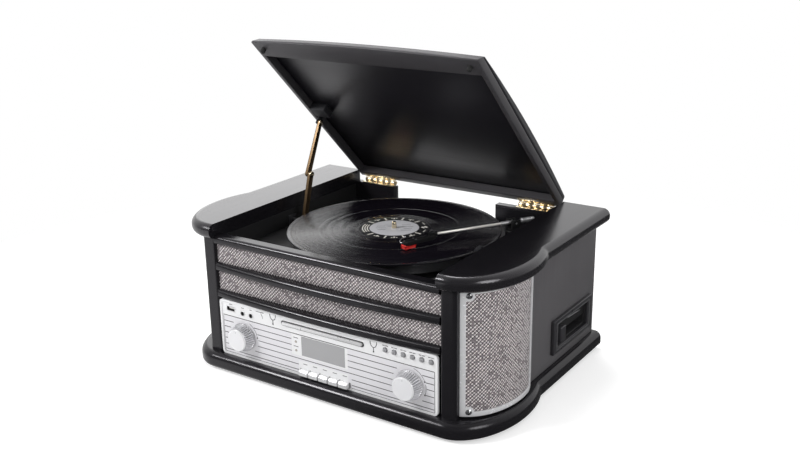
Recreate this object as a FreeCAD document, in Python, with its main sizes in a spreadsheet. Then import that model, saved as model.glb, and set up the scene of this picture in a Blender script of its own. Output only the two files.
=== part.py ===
"""Retro record player: a lobed wooden cabinet with its lid open, a turntable, a radio front and a cassette slot.

Millimetres. +X is the object's right, -Y its front and +Z up. The origin lies on the floor, under the middle of the
whole object. A y in this file is counted from the cabinet's front plane unless its function says otherwise.
"""
import FreeCAD, Part
import math
import operator
import os

from FreeCAD import Placement, Rotation, Vector

SIZES = {
    # Feet and plinth
    "foot_height": 4,
    "foot_radius": 12,
    "foot_inset": 44,
    "plinth_height": 22,
    "plinth_front": 15,
    "plinth_rear": 5,
    "plinth_inset": 6.5,
    "plinth_round_top": 10,
    "plinth_round_foot": 6,
    # Carcase
    "bay_width": 362,
    "side_half": 233,
    "board": 12,
    "cabinet_depth": 340,
    "post_height": 169,
    "post_width": 22,
    "post_depth": 22,
    "post_proud": 1,
    "post_round": 4,
    "rim_height": 173,
    "wall_thickness": 10,
    "ear_left": 75,
    "ear_right": 105,
    "notch_above_deck": 2,
    # Lobes of the plinth and of the wing tops
    "edge_overhang": 19,
    "lobe_out": 9,
    "lobe_y": 92,
    "lobe_overhang": 29,
    "neck_round": 12,
    "wing_thickness": 21,
    "wing_front": 11,
    "wing_round": 10,
    # Front rails and flat cloth strips
    "rail_height": 12,
    "rail_round": 5,
    "top_rail_proud": 3,
    "top_rail_depth": 17,
    "bow_ends": 2,
    "bow_rise": 8,
    "bow_seat": 6,
    "strip_cloth": 3,
    "baffle_thickness": 8,
    # Curved speakers in the lobes
    "grille_half_x": 52.5,
    "grille_half_y": 82,
    "shell_thickness": 9.5,
    "cloth_thickness": 2.2,
    "frame_thickness": 1.8,
    "frame_border": 6,
    "frame_top_border": 3.4,
    "frame_tab_radius": 7,
    "frame_corner": 9,
    "frame_foot_gap": 3,
    "frame_head_gap": 1.2,
    "grille_rear_y": 121.5,
    "driver_turn": 55,
    "driver_radius": 23,
    "driver_set_in": 14,
    "driver_depth": 22,
    "magnet_radius": 14,
    "magnet_height": 11,
    "collar_radius": 20.5,
    "collar_length": 9,
    "driver_wall": 2,
    "screw_head_radius": 3.4,
    "screw_head_height": 1.6,
    "screw_radius": 1.5,
    "screw_length": 9,
    "screw_in": 8,
    "screw_rise": 6,
    # Turntable
    "deck_below_rim": 29,
    "deck_thickness": 4,
    "batten_width": 12,
    "batten_height": 12,
    "platter_x": 2,
    "platter_ahead": 2.5,
    "platter_radius": 140,
    "platter_plate": 4,
    "platter_skirt": 16,
    "platter_skirt_wall": 6,
    "belt_rim_radius": 68,
    "belt_rim_wall": 4,
    "belt_rim_height": 14,
    "hub_radius": 11,
    "platter_lift": 2.5,
    "platter_height": 19.5,
    "record_radius": 150.8,
    "record_thickness": 2,
    "record_hole_radius": 3.62,
    "label_radius": 50,
    "label_thickness": 0.2,
    "spindle_radius": 3.5,
    "spindle_above": 10,
    "spindle_below": 16,
    "boss_radius": 10,
    "boss_depth": 16,
    "motor_offset": 100,
    "motor_bearing": 225,
    "motor_radius": 16,
    "motor_height": 26,
    "motor_hole_radius": 7,
    "shaft_radius": 1,
    "shaft_below": 12,
    "pulley_radius": 6,
    "pulley_flange": 1.5,
    "pulley_flange_thickness": 1,
    "pulley_height": 9,
    "pulley_lift": 4,
    "belt_thickness": 0.8,
    "belt_width": 5,
    # Tonearm
    "arm_x": 149,
    "arm_behind": 77.5,
    "arm_above_record": 12,
    "arm_angle": 237.4,
    "arm_tube_radius": 2.2,
    "arm_tube_length": 121,
    "arm_tail_length": 32,
    "arm_weight_radius": 4,
    "arm_weight_length": 20,
    "arm_pin_radius": 1.5,
    "cheek_gap": 10,
    "cheek_thickness": 4,
    "cheek_length": 13,
    "cheek_above": 4,
    "gimbal_radius": 11,
    "gimbal_drop": 7,
    "gimbal_disc": 3.5,
    "gimbal_stem_radius": 4,
    "gimbal_stem": 12,
    "pedestal_radius": 13,
    "headshell_angle": 12.7,
    "headshell_length": 50,
    "headshell_width": 10,
    "headshell_height": 6,
    "headshell_collar_radius": 4,
    "headshell_collar": 8,
    "lift_bar": 1.2,
    "lift_bar_length": 26,
    "lift_bar_offset": 8,
    "cartridge_length": 20,
    "cartridge_width": 8,
    "cartridge_height": 4.5,
    "stylus_radius": 1,
    "stylus_gap": 0.4,
    "rest_x": 157,
    "rest_ahead": 30.5,
    "rest_radius": 3,
    "rest_ledge": 6.6,
    "rest_ledge_thickness": 2,
    "rest_stop": 2.4,
    "rest_gap": 0.5,
    "rest_prong": 4,
    "switch_in": 21,
    "switch_y": 46,
    "switch_radius": 6,
    "switch_height": 5,
    "switch_lever": 10,
    "switch_stem_radius": 2,
    # Control plate and what is on it
    "plate_width": 357,
    "plate_height": 82,
    "plate_thickness": 3,
    "plate_proud": 1,
    "plate_corner": 5,
    "plate_rim": 3,
    "plate_rim_proud": 1.2,
    "knob_in": 41.5,
    "knob_z": 33,
    "knob_radius": 15.5,
    "knob_face_radius": 14,
    "knob_skirt_radius": 17.5,
    "knob_skirt": 3,
    "knob_length": 16,
    "knob_gap": 1.5,
    "knob_shaft_radius": 4,
    "knob_shaft": 14,
    "display_x": 1,
    "display_z": 43.4,
    "display_width": 72,
    "display_height": 28,
    "display_lip": 3,
    "display_lip_thickness": 1.5,
    "key_count": 5,
    "key_x": 3,
    "key_pitch": 16.4,
    "key_width": 15.4,
    "key_height": 8.6,
    "key_foot": 1.6,
    "key_proud": 9,
    "key_stop": 3,
    "button_count": 6,
    "button_in": 43.5,
    "button_pitch": 13.6,
    "button_z": 71.2,
    "button_radius": 2.6,
    "button_proud": 3,
    "button_stop": 1.2,
    "stop_thickness": 1.5,
    "usb_in": 19.5,
    "usb_z": 70,
    "usb_width": 15,
    "usb_height": 7,
    "usb_depth": 12,
    "usb_wall": 1,
    "usb_tongue": 2,
    "jack_in": 48.5,
    "jack_pitch": 15,
    "jack_z": 67.3,
    "jack_radius": 3.2,
    "jack_bore_radius": 1.8,
    "jack_depth": 12,
    "jack_proud": 0.6,
    "tray_width": 135,
    "tray_z": 69.8,
    "tray_front_height": 6,
    "tray_length": 150,
    "tray_thickness": 5,
    "tray_front": 2,
    "tray_well_radius": 60.5,
    "tray_well_depth": 2.5,
    "tray_well_y": 72,
    "loader_wall": 7,
    "loader_length": 156,
    "loader_height": 20,
    # Cassette
    "cassette_ahead": 79,
    "cassette_z": 41,
    "cassette_width": 96,
    "cassette_height": 38,
    "cassette_depth": 110,
    "bezel_width": 124,
    "bezel_height": 49,
    "bezel_thickness": 5,
    "bezel_window_height": 34,
    "tape_width": 70,
    "tape_height": 14,
    "tape_depth": 104,
    "tape_below": 5,
    "tape_from_edge": 4,
    "push_width": 16,
    "push_height": 22,
    "push_length": 19,
    "push_proud": 3,
    "push_travel": 5,
    "push_edge": 2,
    # Boards and rear sockets
    "circuit_width": 160,
    "circuit_depth": 110,
    "circuit_thickness": 1.6,
    "circuit_x": 95,
    "circuit_rear_gap": 25,
    "standoff_height": 8,
    "standoff_radius": 4,
    "standoff_inset": 10,
    "coil_width": 55,
    "coil_depth": 45,
    "coil_height": 46,
    "coil_x": 168,
    "inlet_width": 28,
    "inlet_height": 20,
    "inlet_depth": 16,
    "inlet_flange": 4,
    "inlet_flange_thickness": 2,
    "inlet_in": 41,
    "socket_z": 40,
    "line_radius": 4.2,
    "line_depth": 20,
    "line_x": 60,
    "line_pitch": 16,
    # Lid, hinges and stay
    "lid_angle": 44.5,
    "lid_side_gap": 4,
    "lid_front": 10.5,
    "lid_bow": 6,
    "lid_nose": 3,
    "lid_bevel_run": 16,
    "lid_bevel_height": 18,
    "lid_front_height": 13.5,
    "lid_crown": 7,
    "lid_lift": 7,
    "lid_thickness": 18,
    "lid_panel_thickness": 6,
    "lid_border_front": 30,
    "lid_border_side": 6.5,
    "lid_border_rear": 13,
    "lid_edge_round": 2.5,
    "bumper_radius": 3.5,
    "bumper_side": 15,
    "bumper_in": 13,
    "bumper_gap": 0.3,
    "hinge_in": 42.5,
    "hinge_length": 58,
    "hinge_knuckles": 5,
    "hinge_radius": 3.2,
    "hinge_pin_radius": 1.5,
    "hinge_leaf": 1.5,
    "hinge_leaf_width": 11,
    "hinge_setback": 3,
    "hinge_end_in": 0.5,
    "stay_in": 21,
    "stay_ahead": 174.5,
    "stay_above_deck": 8,
    "stay_lower_length": 71.2,
    "stay_lower_angle": 74.1,
    "stay_upper_length": 79.6,
    "stay_upper_angle": 65.3,
    "stay_lid_y": 168.4,
    "stay_lid_drop": 5.9,
    "stay_width": 9,
    "stay_thickness": 1.8,
    "stay_pin_radius": 2,
    "stay_rivet_radius": 3.2,
    "stay_rivet_height": 2.4,
    "stay_plate": 2,
    "stay_bracket_width": 20,
    "stay_bracket_height": 16,
    "stay_block_width": 26,
    "stay_block_length": 20,
    "stay_tab": 1.6,
    # Clearances
    "fit": 0.05,
    "gap": 0.3,
    "slack": 0.2,
}

OPERATORS = {"+": operator.add, "-": operator.sub, "*": operator.mul, "/": operator.truediv}
AXIS_X = Vector(1, 0, 0)
AXIS_Y = Vector(0, 1, 0)
AXIS_Z = Vector(0, 0, 1)
# A rod or turned body stands along Z until it is laid along another direction
LAID = {
    "up": (AXIS_Z, 0),
    "front": (AXIS_X, 90),
    "rear": (AXIS_X, -90),
    "right": (AXIS_Y, 90),
    "left": (AXIS_Y, -90),
}


class Size:
    """A length, angle or count: its number, and the sheet expression that gives it."""

    def __init__(self, number, text):
        self.number = float(number)
        self.text = text

    def joined(self, sign, other, swapped=False):
        """Return the result of one arithmetic sign with another size or number."""
        pair = [self, as_size(other)]
        if swapped:
            pair.reverse()
        number = OPERATORS[sign](pair[0].number, pair[1].number)
        return Size(number, f"({pair[0].text} {sign} {pair[1].text})")

    def __add__(self, other):
        return self.joined("+", other)

    def __radd__(self, other):
        return self.joined("+", other, swapped=True)

    def __sub__(self, other):
        return self.joined("-", other)

    def __rsub__(self, other):
        return self.joined("-", other, swapped=True)

    def __mul__(self, other):
        return self.joined("*", other)

    def __rmul__(self, other):
        return self.joined("*", other, swapped=True)

    def __truediv__(self, other):
        return self.joined("/", other)

    def __neg__(self):
        return self.joined("*", -1)

    def __float__(self):
        return self.number


def as_size(value):
    """Return a size for a plain number, and a size unchanged."""
    return value if isinstance(value, Size) else Size(value, f"{float(value)!r}")


def sine(angle):
    """Return the sine of an angle in degrees as a size."""
    return Size(math.sin(math.radians(float(angle))), f"sin({angle.text} * 1deg)")


def arctangent(ratio):
    """Return the angle in degrees whose tangent is a ratio."""
    return Size(math.degrees(math.atan(float(ratio))), f"(atan({ratio.text}) / 1deg)")


def cosine(angle):
    """Return the cosine of an angle in degrees as a size."""
    return Size(math.cos(math.radians(float(angle))), f"cos({angle.text} * 1deg)")


def make_sheet(document):
    """Write the driving dimensions into a sheet and return them as sizes."""
    sheet = document.addObject("Spreadsheet::Sheet", "Sizes")
    for row, (name, number) in enumerate(SIZES.items(), start=1):
        sheet.set(f"A{row}", name)
        sheet.set(f"B{row}", str(number))
        sheet.setAlias(f"B{row}", name)
    document.recompute()
    return {name: Size(number, f"Sizes.{name}") for name, number in SIZES.items()}


doc = FreeCAD.newDocument("record_player")
S = make_sheet(doc)
nodes = []

# Levels above the floor
plinth_top = S["foot_height"] + S["plinth_height"]
wing_under = plinth_top + S["post_height"]
rim_top = plinth_top + S["rim_height"]
deck_top = rim_top - S["deck_below_rim"]
deck_under = deck_top - S["deck_thickness"]
platter_top = deck_top + S["platter_height"] + S["platter_lift"]
record_top = platter_top + S["record_thickness"]
arm_level = record_top + S["arm_above_record"]
plate_top = plinth_top + S["plate_height"]
lid_under = rim_top + S["lid_lift"]

# Widths and depths
bay_half = S["bay_width"] / 2
post_outer = bay_half + S["post_width"]
post_back = S["post_depth"] - S["post_proud"]
wall_outer = bay_half + S["wall_thickness"]
side_inner = S["side_half"] - S["board"]
back_front = S["cabinet_depth"] - S["board"]
edge_half = S["side_half"] + S["edge_overhang"]
baffle_back = S["bow_seat"] + S["baffle_thickness"]
lid_half = bay_half - S["lid_side_gap"]
plate_half = S["plate_width"] / 2

# The lobes of the boards, which the speakers' curve shares a centre with
lobe_x = bay_half + S["lobe_out"]
lobe_half = S["side_half"] + S["lobe_overhang"] - lobe_x

# Places on the deck, the plate, the right side and the walls
platter_y = (back_front + baffle_back) / 2 - S["platter_ahead"]
arm_y = platter_y + S["arm_behind"]
rest_y = platter_y - S["rest_ahead"]
switch_x = bay_half - S["switch_in"]
knob_x = plate_half - S["knob_in"]
usb_x = plate_half - S["usb_in"]
cassette_y = S["cabinet_depth"] - S["cassette_ahead"]
inlet_x = bay_half - S["inlet_in"]

# The hinge axis lies behind the lid's rear edge, a barrel and a gap above the rim
hinge_y = S["cabinet_depth"] - S["hinge_end_in"]
hinge_z = rim_top + S["hinge_radius"] + S["gap"]
lid_drop = lid_under - hinge_z

# The open lid's rear top edge and the knobs' faces are the object's two ends along Y
knob_front = S["plate_proud"] + S["knob_gap"] + S["knob_length"]
lid_reach_back = (S["hinge_setback"] + S["lid_edge_round"]) * cosine(S["lid_angle"])
lid_reach_up = (lid_drop + S["lid_thickness"] - S["lid_edge_round"]) * sine(S["lid_angle"])
rear_end = hinge_y + lid_reach_up - lid_reach_back + S["lid_edge_round"]
front_y = (knob_front - rear_end) / 2


def bind(part, **sizes):
    """Bind properties of a part to their sizes in the sheet."""
    for name, size in sizes.items():
        part.setExpression(name, as_size(size).text)


def seat(part, x, y, z, axis=AXIS_Z, angle=0):
    """Put a part at a point of its own frame, turned about one axis."""
    point = [as_size(value) for value in (x, y, z)]
    turn = as_size(angle)
    part.Placement = Placement(Vector(*[float(value) for value in point]), Rotation(axis, float(turn)))
    for name, value in zip("xyz", point):
        part.setExpression(f"Placement.Base.{name}", value.text)
    part.setExpression("Placement.Rotation.Angle", turn.text)
    return part


def place(part, x, y, z, axis=AXIS_Z, angle=0):
    """Put a part in the cabinet, with y counted from the front plane."""
    return seat(part, x, front_y + y, z, axis, angle)


def box(name, size, corner, put=place):
    """Return a block of a width, depth and height with its low corner at a point."""
    part = doc.addObject("Part::Box", name)
    bind(part, Length=size[0], Width=size[1], Height=size[2])
    return put(part, *corner)


def centred_box(name, size, corner, put=place):
    """Return a block that is centred on x, with the rest of its low corner given."""
    return box(name, size, (corner[0] - as_size(size[0]) / 2, corner[1], corner[2]), put)


def rod(name, radius, length, start, laid="up", put=place):
    """Return a cylinder that starts at a point and runs up or along an axis."""
    part = doc.addObject("Part::Cylinder", name)
    bind(part, Radius=radius, Height=length)
    return put(part, *start, *LAID[laid])


def fuse(name, *parts):
    """Return several parts as one solid."""
    part = doc.addObject("Part::MultiFuse", name)
    part.Shapes = list(parts)
    return part


def cut(name, base, *tools):
    """Return a part with others taken out of it."""
    part = doc.addObject("Part::Cut", name)
    part.Base = base
    part.Tool = tools[0] if len(tools) == 1 else fuse(f"{name}_tools", *tools)
    return part


def group(name, *parts):
    """Return separate solids as one compound."""
    part = doc.addObject("Part::Compound", name)
    part.Links = list(parts)
    return part


def mirrored(name, source):
    """Return a part's mirror image in the plane between left and right."""
    part = doc.addObject("Part::Mirroring", name)
    part.Source = source
    part.Normal = AXIS_X
    return part


def pair(name, right):
    """Return a right-hand part and its mirror image as one compound."""
    return group(name, right, mirrored(f"{name}_left", right))


def rounded(name, base, radius, chosen):
    """Return a part with the edges that a test chooses rounded."""
    doc.recompute()
    part = doc.addObject("Part::Fillet", name)
    part.Base = base
    size = float(radius)
    part.Edges = [(number, size, size) for number, edge in enumerate(base.Shape.Edges, start=1) if chosen(edge)]
    return part


def runs_along(edge, axis):
    """Tell whether an edge is straight and parallel to an axis."""
    if len(edge.Vertexes) != 2:
        return False
    span = edge.Vertexes[1].Point - edge.Vertexes[0].Point
    return abs(abs(span.dot(axis)) - edge.Length) < 1e-6


def at(value, target):
    """Tell whether a coordinate lies at a size."""
    return abs(value - float(target)) < 1e-4


def line(start, end):
    """Return a straight sketch edge."""
    return Part.LineSegment(Vector(*map(float, start), 0), Vector(*map(float, end), 0))


def polygon(*points):
    """Return the closed run of straight sketch edges through some points."""
    return [line(point, points[(number + 1) % len(points)]) for number, point in enumerate(points)]


def lobe(side, half_x, half_y):
    """Return the ellipse about a lobe's centre, which starts at its front point and runs to its right."""
    centre = Vector(side * float(lobe_x), float(S["lobe_y"]), 0)
    return Part.Ellipse(centre - AXIS_Y * float(half_y), centre + AXIS_X * float(half_x), centre)


def sketch_body(name, plane, edges):
    """Return a body and its sketch of some edges on one of its origin planes."""
    body = doc.addObject("PartDesign::Body", name)
    sketch = body.newObject("Sketcher::SketchObject", f"{name}_sketch")
    planes = [plane_ for plane_ in body.Origin.OriginFeatures if plane_.Role == plane]
    sketch.AttachmentSupport = [(planes[0], "")]
    sketch.MapMode = "FlatFace"
    sketch.addGeometry(list(edges), False)
    return body, sketch


def padded(name, edges, height, point, put=place):
    """Return a body that is an outline padded upwards from a point."""
    body, sketch = sketch_body(name, "XY_Plane", edges)
    pad = body.newObject("PartDesign::Pad", f"{name}_pad")
    pad.Profile = sketch
    bind(pad, Length=height)
    return put(body, *point)


def turned(name, profile, point, laid="up", put=place):
    """Return a body turned about its own axis from points of radius and height."""
    body, sketch = sketch_body(name, "XZ_Plane", polygon(*profile))
    revolution = body.newObject("PartDesign::Revolution", f"{name}_turn")
    revolution.Profile = sketch
    revolution.ReferenceAxis = (sketch, ["V_Axis"])
    revolution.Angle = 360
    return put(body, *point, *LAID[laid])


def soften(body, radius, chosen):
    """Round the edges of a body that a test chooses."""
    doc.recompute()
    base = body.Tip
    fillet = body.newObject("PartDesign::Fillet", f"{body.Name}_round")
    numbers = [number for number, edge in enumerate(base.Shape.Edges, start=1) if chosen(edge)]
    fillet.Base = (base, [f"Edge{number}" for number in numbers])
    bind(fillet, Radius=radius)
    return body


def node(name, part):
    """Name a finished sub-part, which is written to a file of that name."""
    part.Label = name
    nodes.append(part)
    return part


def lobe_arc(side, front, inset):
    """Return a lobe's arc from the front line to the straight side of the plinth or a wing top."""
    ellipse = lobe(side, lobe_half - inset, S["lobe_y"] + front)
    end = math.pi - math.asin(float(edge_half - inset - lobe_x) / float(lobe_half - inset))
    if side > 0:
        return Part.ArcOfEllipse(ellipse, 0, end)
    return Part.ArcOfEllipse(ellipse, 2 * math.pi - end, 2 * math.pi)


def neck_y(front, inset):
    """Return where a lobe's arc meets the straight side."""
    share = float(edge_half - inset - lobe_x) / float(lobe_half - inset)
    return float(S["lobe_y"]) + float(S["lobe_y"] + front) * math.sqrt(1 - share * share)


def round_board(body, height, front, inset, rear, top_round, foot_round, inner=None):
    """Round the necks of a lobed board and its edges, all but the rear and inner ones."""

    def is_neck(edge):
        point = edge.Vertexes[0].Point
        on_side = at(abs(point.x), edge_half - inset)
        return runs_along(edge, AXIS_Z) and on_side and at(point.y, neck_y(front, inset))

    def is_outer(edge):
        ends = [vertex.Point for vertex in edge.Vertexes]
        at_rear = all(at(point.y, rear) for point in ends)
        at_inner = inner is not None and all(at(point.x, inner) for point in ends)
        return not at_rear and not at_inner

    def level(height_at):
        return lambda edge: is_outer(edge) and all(at(vertex.Z, height_at) for vertex in edge.Vertexes)

    soften(body, S["neck_round"], is_neck)
    soften(body, top_round, level(height))
    soften(body, foot_round, level(0))
    return body


def make_plinth():
    """The base board with lobed front corners, and the feet under it."""
    front = S["plinth_front"]
    inset = S["plinth_inset"]
    half = edge_half - inset
    rear = S["cabinet_depth"] + S["plinth_rear"]
    neck = neck_y(front, inset)
    edges = [
        line((-lobe_x, -front), (lobe_x, -front)),
        lobe_arc(1, front, inset),
        line((half, neck), (half, rear)),
        line((half, rear), (-half, rear)),
        line((-half, rear), (-half, neck)),
        lobe_arc(-1, front, inset),
    ]
    board = padded("plinth", edges, S["plinth_height"], (0, 0, S["foot_height"]))
    round_board(board, S["plinth_height"], front, inset, rear, S["plinth_round_top"], S["plinth_round_foot"])
    node("plinth", board)
    foot_x = half - S["foot_inset"]
    feet = []
    for name, foot_y in (("front_foot", S["foot_inset"]), ("rear_foot", rear - S["foot_inset"])):
        foot = rod(name, S["foot_radius"], S["foot_height"], (foot_x, foot_y, 0))
        feet += [foot, mirrored(f"{name}_left", foot)]
    node("feet", group("feet", *feet))


def make_wings():
    """The lobed boards that top the cabinet on both sides of the lid."""
    front = S["wing_front"]
    rear = S["cabinet_depth"]
    edges = [
        line((bay_half, -front), (lobe_x, -front)),
        lobe_arc(1, front, 0),
        line((edge_half, neck_y(front, 0)), (edge_half, rear)),
        line((edge_half, rear), (bay_half, rear)),
        line((bay_half, rear), (bay_half, -front)),
    ]
    wing = padded("wing", edges, S["wing_thickness"], (0, 0, wing_under))
    round_board(wing, S["wing_thickness"], front, 0, rear, S["wing_round"], S["wing_round"], inner=bay_half)
    node("side_wings", pair("side_wings", wing))


def make_posts_and_panels():
    """The front posts, the side panels and the back panel with its two raised ears."""
    corner = (bay_half, -S["post_proud"], plinth_top)
    post = box("post", (S["post_width"], S["post_depth"], S["post_height"]), corner)
    front = front_y - S["post_proud"]
    post = rounded("round_post", post, S["post_round"],
                   lambda edge: runs_along(edge, AXIS_Z) and at(edge.Vertexes[0].Y, front))
    # A plate wider than the bay, and the sockets behind it, are let into the posts
    room_size = (S["plate_width"], S["usb_depth"], S["plate_height"])
    plate_room = centred_box("plate_room", room_size, (0, -S["plate_proud"], plinth_top))
    node("front_posts", pair("front_posts", cut("front_post", post, plate_room)))

    panel_size = (S["board"], S["cabinet_depth"] - S["grille_rear_y"] - S["slack"], S["post_height"])
    panel = box("side_panel", panel_size, (side_inner, S["grille_rear_y"] + S["slack"], plinth_top))
    hole = cassette_hole("panel_hole", side_inner - S["gap"], S["board"] + 2 * S["gap"])
    right = cut("side_panel_right", panel, hole)
    node("side_panels", group("side_panels", right, mirrored("side_panel_left", panel)))

    low_size = (2 * side_inner, S["board"], S["post_height"])
    low = centred_box("back_low", low_size, (0, back_front, plinth_top))
    high = centred_box("back_high", (S["bay_width"], S["board"], S["rim_height"]), (0, back_front, plinth_top))
    notch_floor = deck_top + S["notch_above_deck"]
    notch_size = (S["bay_width"] - S["ear_left"] - S["ear_right"], S["board"], rim_top - notch_floor)
    notch = box("back_notch", notch_size, (S["ear_left"] - bay_half, back_front, notch_floor))
    inlet_size = (S["inlet_width"], S["board"], S["inlet_height"])
    inlet = centred_box("inlet_hole", inlet_size, (-inlet_x, back_front, plinth_top + S["socket_z"]))
    holes = [rod(f"line_hole_{number}", S["line_radius"], S["board"], line_start(number, back_front), "rear")
             for number in range(2)]
    node("back_panel", cut("back_panel", fuse("back_board", low, high), notch, inlet, *holes))


def cassette_hole(name, start_x, width):
    """Return the tool that opens a board for the cassette deck, with a little room round it."""
    room = S["slack"]
    size = (width, S["cassette_width"] + 2 * room, S["cassette_height"] + 2 * room)
    y = cassette_y - S["cassette_width"] / 2 - room
    z = plinth_top + S["cassette_z"] - S["cassette_height"] / 2 - room
    return box(name, size, (start_x, y, z))


def rail_level(number):
    """Return the underside of a bowed rail, counted from the plate up."""
    span = rim_top - S["rail_height"] - plate_top
    return plate_top + span / 2 * number


def make_rails():
    """The straight top rail, the two bowed rails and the baffle board behind them."""
    size = (S["bay_width"], S["top_rail_depth"], S["rail_height"])
    bar = centred_box("top_bar", size, (0, -S["top_rail_proud"], rim_top - S["rail_height"]))
    front = front_y - S["top_rail_proud"]
    rail = rounded("top_rail", bar, S["rail_round"],
                   lambda edge: runs_along(edge, AXIS_X) and at(edge.Vertexes[0].Y, front))
    node("top_rail", rail)

    left, right = (-bay_half, -S["bow_ends"]), (bay_half, -S["bow_ends"])
    middle = Vector(0, -float(S["bow_ends"] + S["bow_rise"]), 0)
    bow = Part.Arc(Vector(*map(float, left), 0), middle, Vector(*map(float, right), 0))
    edges = [
        bow,
        line(right, (bay_half, S["bow_seat"])),
        line((bay_half, S["bow_seat"]), (-bay_half, S["bow_seat"])),
        line((-bay_half, S["bow_seat"]), left),
    ]
    rails = []
    for number, name in enumerate(("lower_rail", "middle_rail")):
        body = padded(name, edges, S["rail_height"], (0, 0, rail_level(number)))
        soften(body, S["rail_round"], lambda edge: edge.Curve.TypeId == "Part::GeomCircle")
        rails.append(body)
    node("bowed_rails", group("bowed_rails", *rails))


def grille_shell(name, inner, outer, start_x, end_y, height, z):
    """Return a curved shell that follows a lobe between two offsets from the speaker's curve."""

    def arc(offset):
        half_x = float(S["grille_half_x"] + offset)
        half_y = float(S["grille_half_y"] + offset)
        start = math.asin(float(start_x - lobe_x) / half_x)
        end = math.pi - math.acos(float(end_y - S["lobe_y"]) / half_y)
        curve = Part.ArcOfEllipse(lobe(1, half_x, half_y), start, end)
        return curve, (curve.StartPoint.x, curve.StartPoint.y), (curve.EndPoint.x, curve.EndPoint.y)

    near, near_start, near_end = arc(inner)
    far, far_start, far_end = arc(outer)
    edges = [near, line(near_end, far_end), far, line(far_start, near_start)]
    return padded(name, edges, height, (0, 0, z))


def curve_point(turn):
    """Return a point of the speaker's curve and the way out of it, at a turn from the lobe's front."""
    angle = math.radians(turn)
    half_x = float(S["grille_half_x"])
    half_y = float(S["grille_half_y"])
    point = Vector(float(lobe_x) + half_x * math.sin(angle), float(S["lobe_y"]) - half_y * math.cos(angle), 0)
    normal = Vector(math.sin(angle) / half_x, -math.cos(angle) / half_y, 0)
    return point, normal.normalize()


def aimed(part, point, normal, z):
    """Lay a rod or turned body along a level direction, starting at a point."""
    return place(part, point.x, point.y, z, AXIS_Z.cross(normal), 90)


def screw_places():
    """Return the two frame screws' points on the curve, with the way out and the height of each."""
    reach = float(post_outer + S["screw_in"] - lobe_x)
    turn = math.degrees(math.asin(reach / float(S["grille_half_x"])))
    point, normal = curve_point(turn)
    heights = (plinth_top + S["frame_foot_gap"] + S["screw_rise"],
               wing_under - S["frame_head_gap"] - S["screw_rise"])
    return point, normal, heights


def screw_holes(name):
    """Return the tools that bore a lobe's layers for the frame screws."""
    point, normal, heights = screw_places()
    tools = []
    for number, height in enumerate(heights):
        tool = doc.addObject("Part::Cylinder", f"{name}_{number}")
        bind(tool, Radius=S["screw_radius"] + S["fit"], Height=2 * S["screw_length"])
        tools.append(aimed(tool, point - normal * float(S["screw_length"]), normal, height))
    return tools


def make_speakers():
    """The curved frames, cloths and baffles of the lobes, with drivers behind and screws in front."""
    cloth_out = S["cloth_thickness"]
    frame_out = cloth_out + S["frame_thickness"]
    frame_z = plinth_top + S["frame_foot_gap"]
    frame_height = S["post_height"] - S["frame_foot_gap"] - S["frame_head_gap"]
    border = S["frame_border"]
    rear_y = S["grille_rear_y"]
    start_x = post_outer + S["slack"]

    sheet = grille_shell("frame_sheet", cloth_out, frame_out, start_x, rear_y, frame_height, frame_z)

    def is_rear_corner(edge):
        return edge.Length < 2 * float(S["frame_thickness"]) and all(at(v.Y, rear_y) for v in edge.Vertexes)

    soften(sheet, S["frame_corner"], is_rear_corner)
    window = grille_shell("frame_window", cloth_out - S["slack"], frame_out + S["slack"], start_x + border,
                          rear_y - border, frame_height - border - S["frame_top_border"], frame_z + border)
    point, normal, heights = screw_places()
    tabs = []
    for number, height in enumerate(heights):
        tab = doc.addObject("Part::Cylinder", f"frame_tab_{number}")
        bind(tab, Radius=S["frame_tab_radius"], Height=2 * border)
        tabs.append(aimed(tab, point, normal, height))
    opening = cut("frame_opening", window, *tabs)
    frame = cut("speaker_frame", cut("frame_sheet_open", sheet, opening), *screw_holes("frame_hole"))
    node("speaker_frames", pair("speaker_frames", frame))

    cloth = grille_shell("curved_cloth", S["fit"], cloth_out - S["fit"], start_x, rear_y - S["slack"], frame_height,
                         frame_z)
    cloth = cut("speaker_cloth", cloth, *screw_holes("cloth_hole"))
    strips = []
    for number in range(2):
        foot = rail_level(number) + S["rail_height"]
        size = (S["bay_width"], S["strip_cloth"], rail_level(number + 1) - foot)
        strips.append(centred_box(f"cloth_strip_{number}", size, (0, S["bow_seat"] - S["strip_cloth"], foot)))
    node("grille_cloths", group("grille_cloths", cloth, mirrored("speaker_cloth_left", cloth), *strips))

    screws = []
    skin = normal * float(frame_out)
    for number, height in enumerate(heights):
        shank = float(S["screw_length"])
        head = float(S["screw_head_height"])
        profile = [(0, -shank), (S["screw_radius"], -shank), (S["screw_radius"], 0), (S["screw_head_radius"], 0),
                   (S["screw_head_radius"] * 0.7, head), (0, head)]
        screw = turned(f"frame_screw_{number}", profile, (0, 0, 0))
        aimed(screw, point + skin, normal, height)
        screws += [screw, mirrored(f"frame_screw_left_{number}", screw)]
    node("frame_screws", group("frame_screws", *screws))
    make_drivers()


def driver_place():
    """Return the centre of a driver's rim, the way it faces and its height."""
    point, normal = curve_point(float(S["driver_turn"]))
    return point - normal * float(S["driver_set_in"]), normal, plinth_top + S["post_height"] / 2


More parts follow.
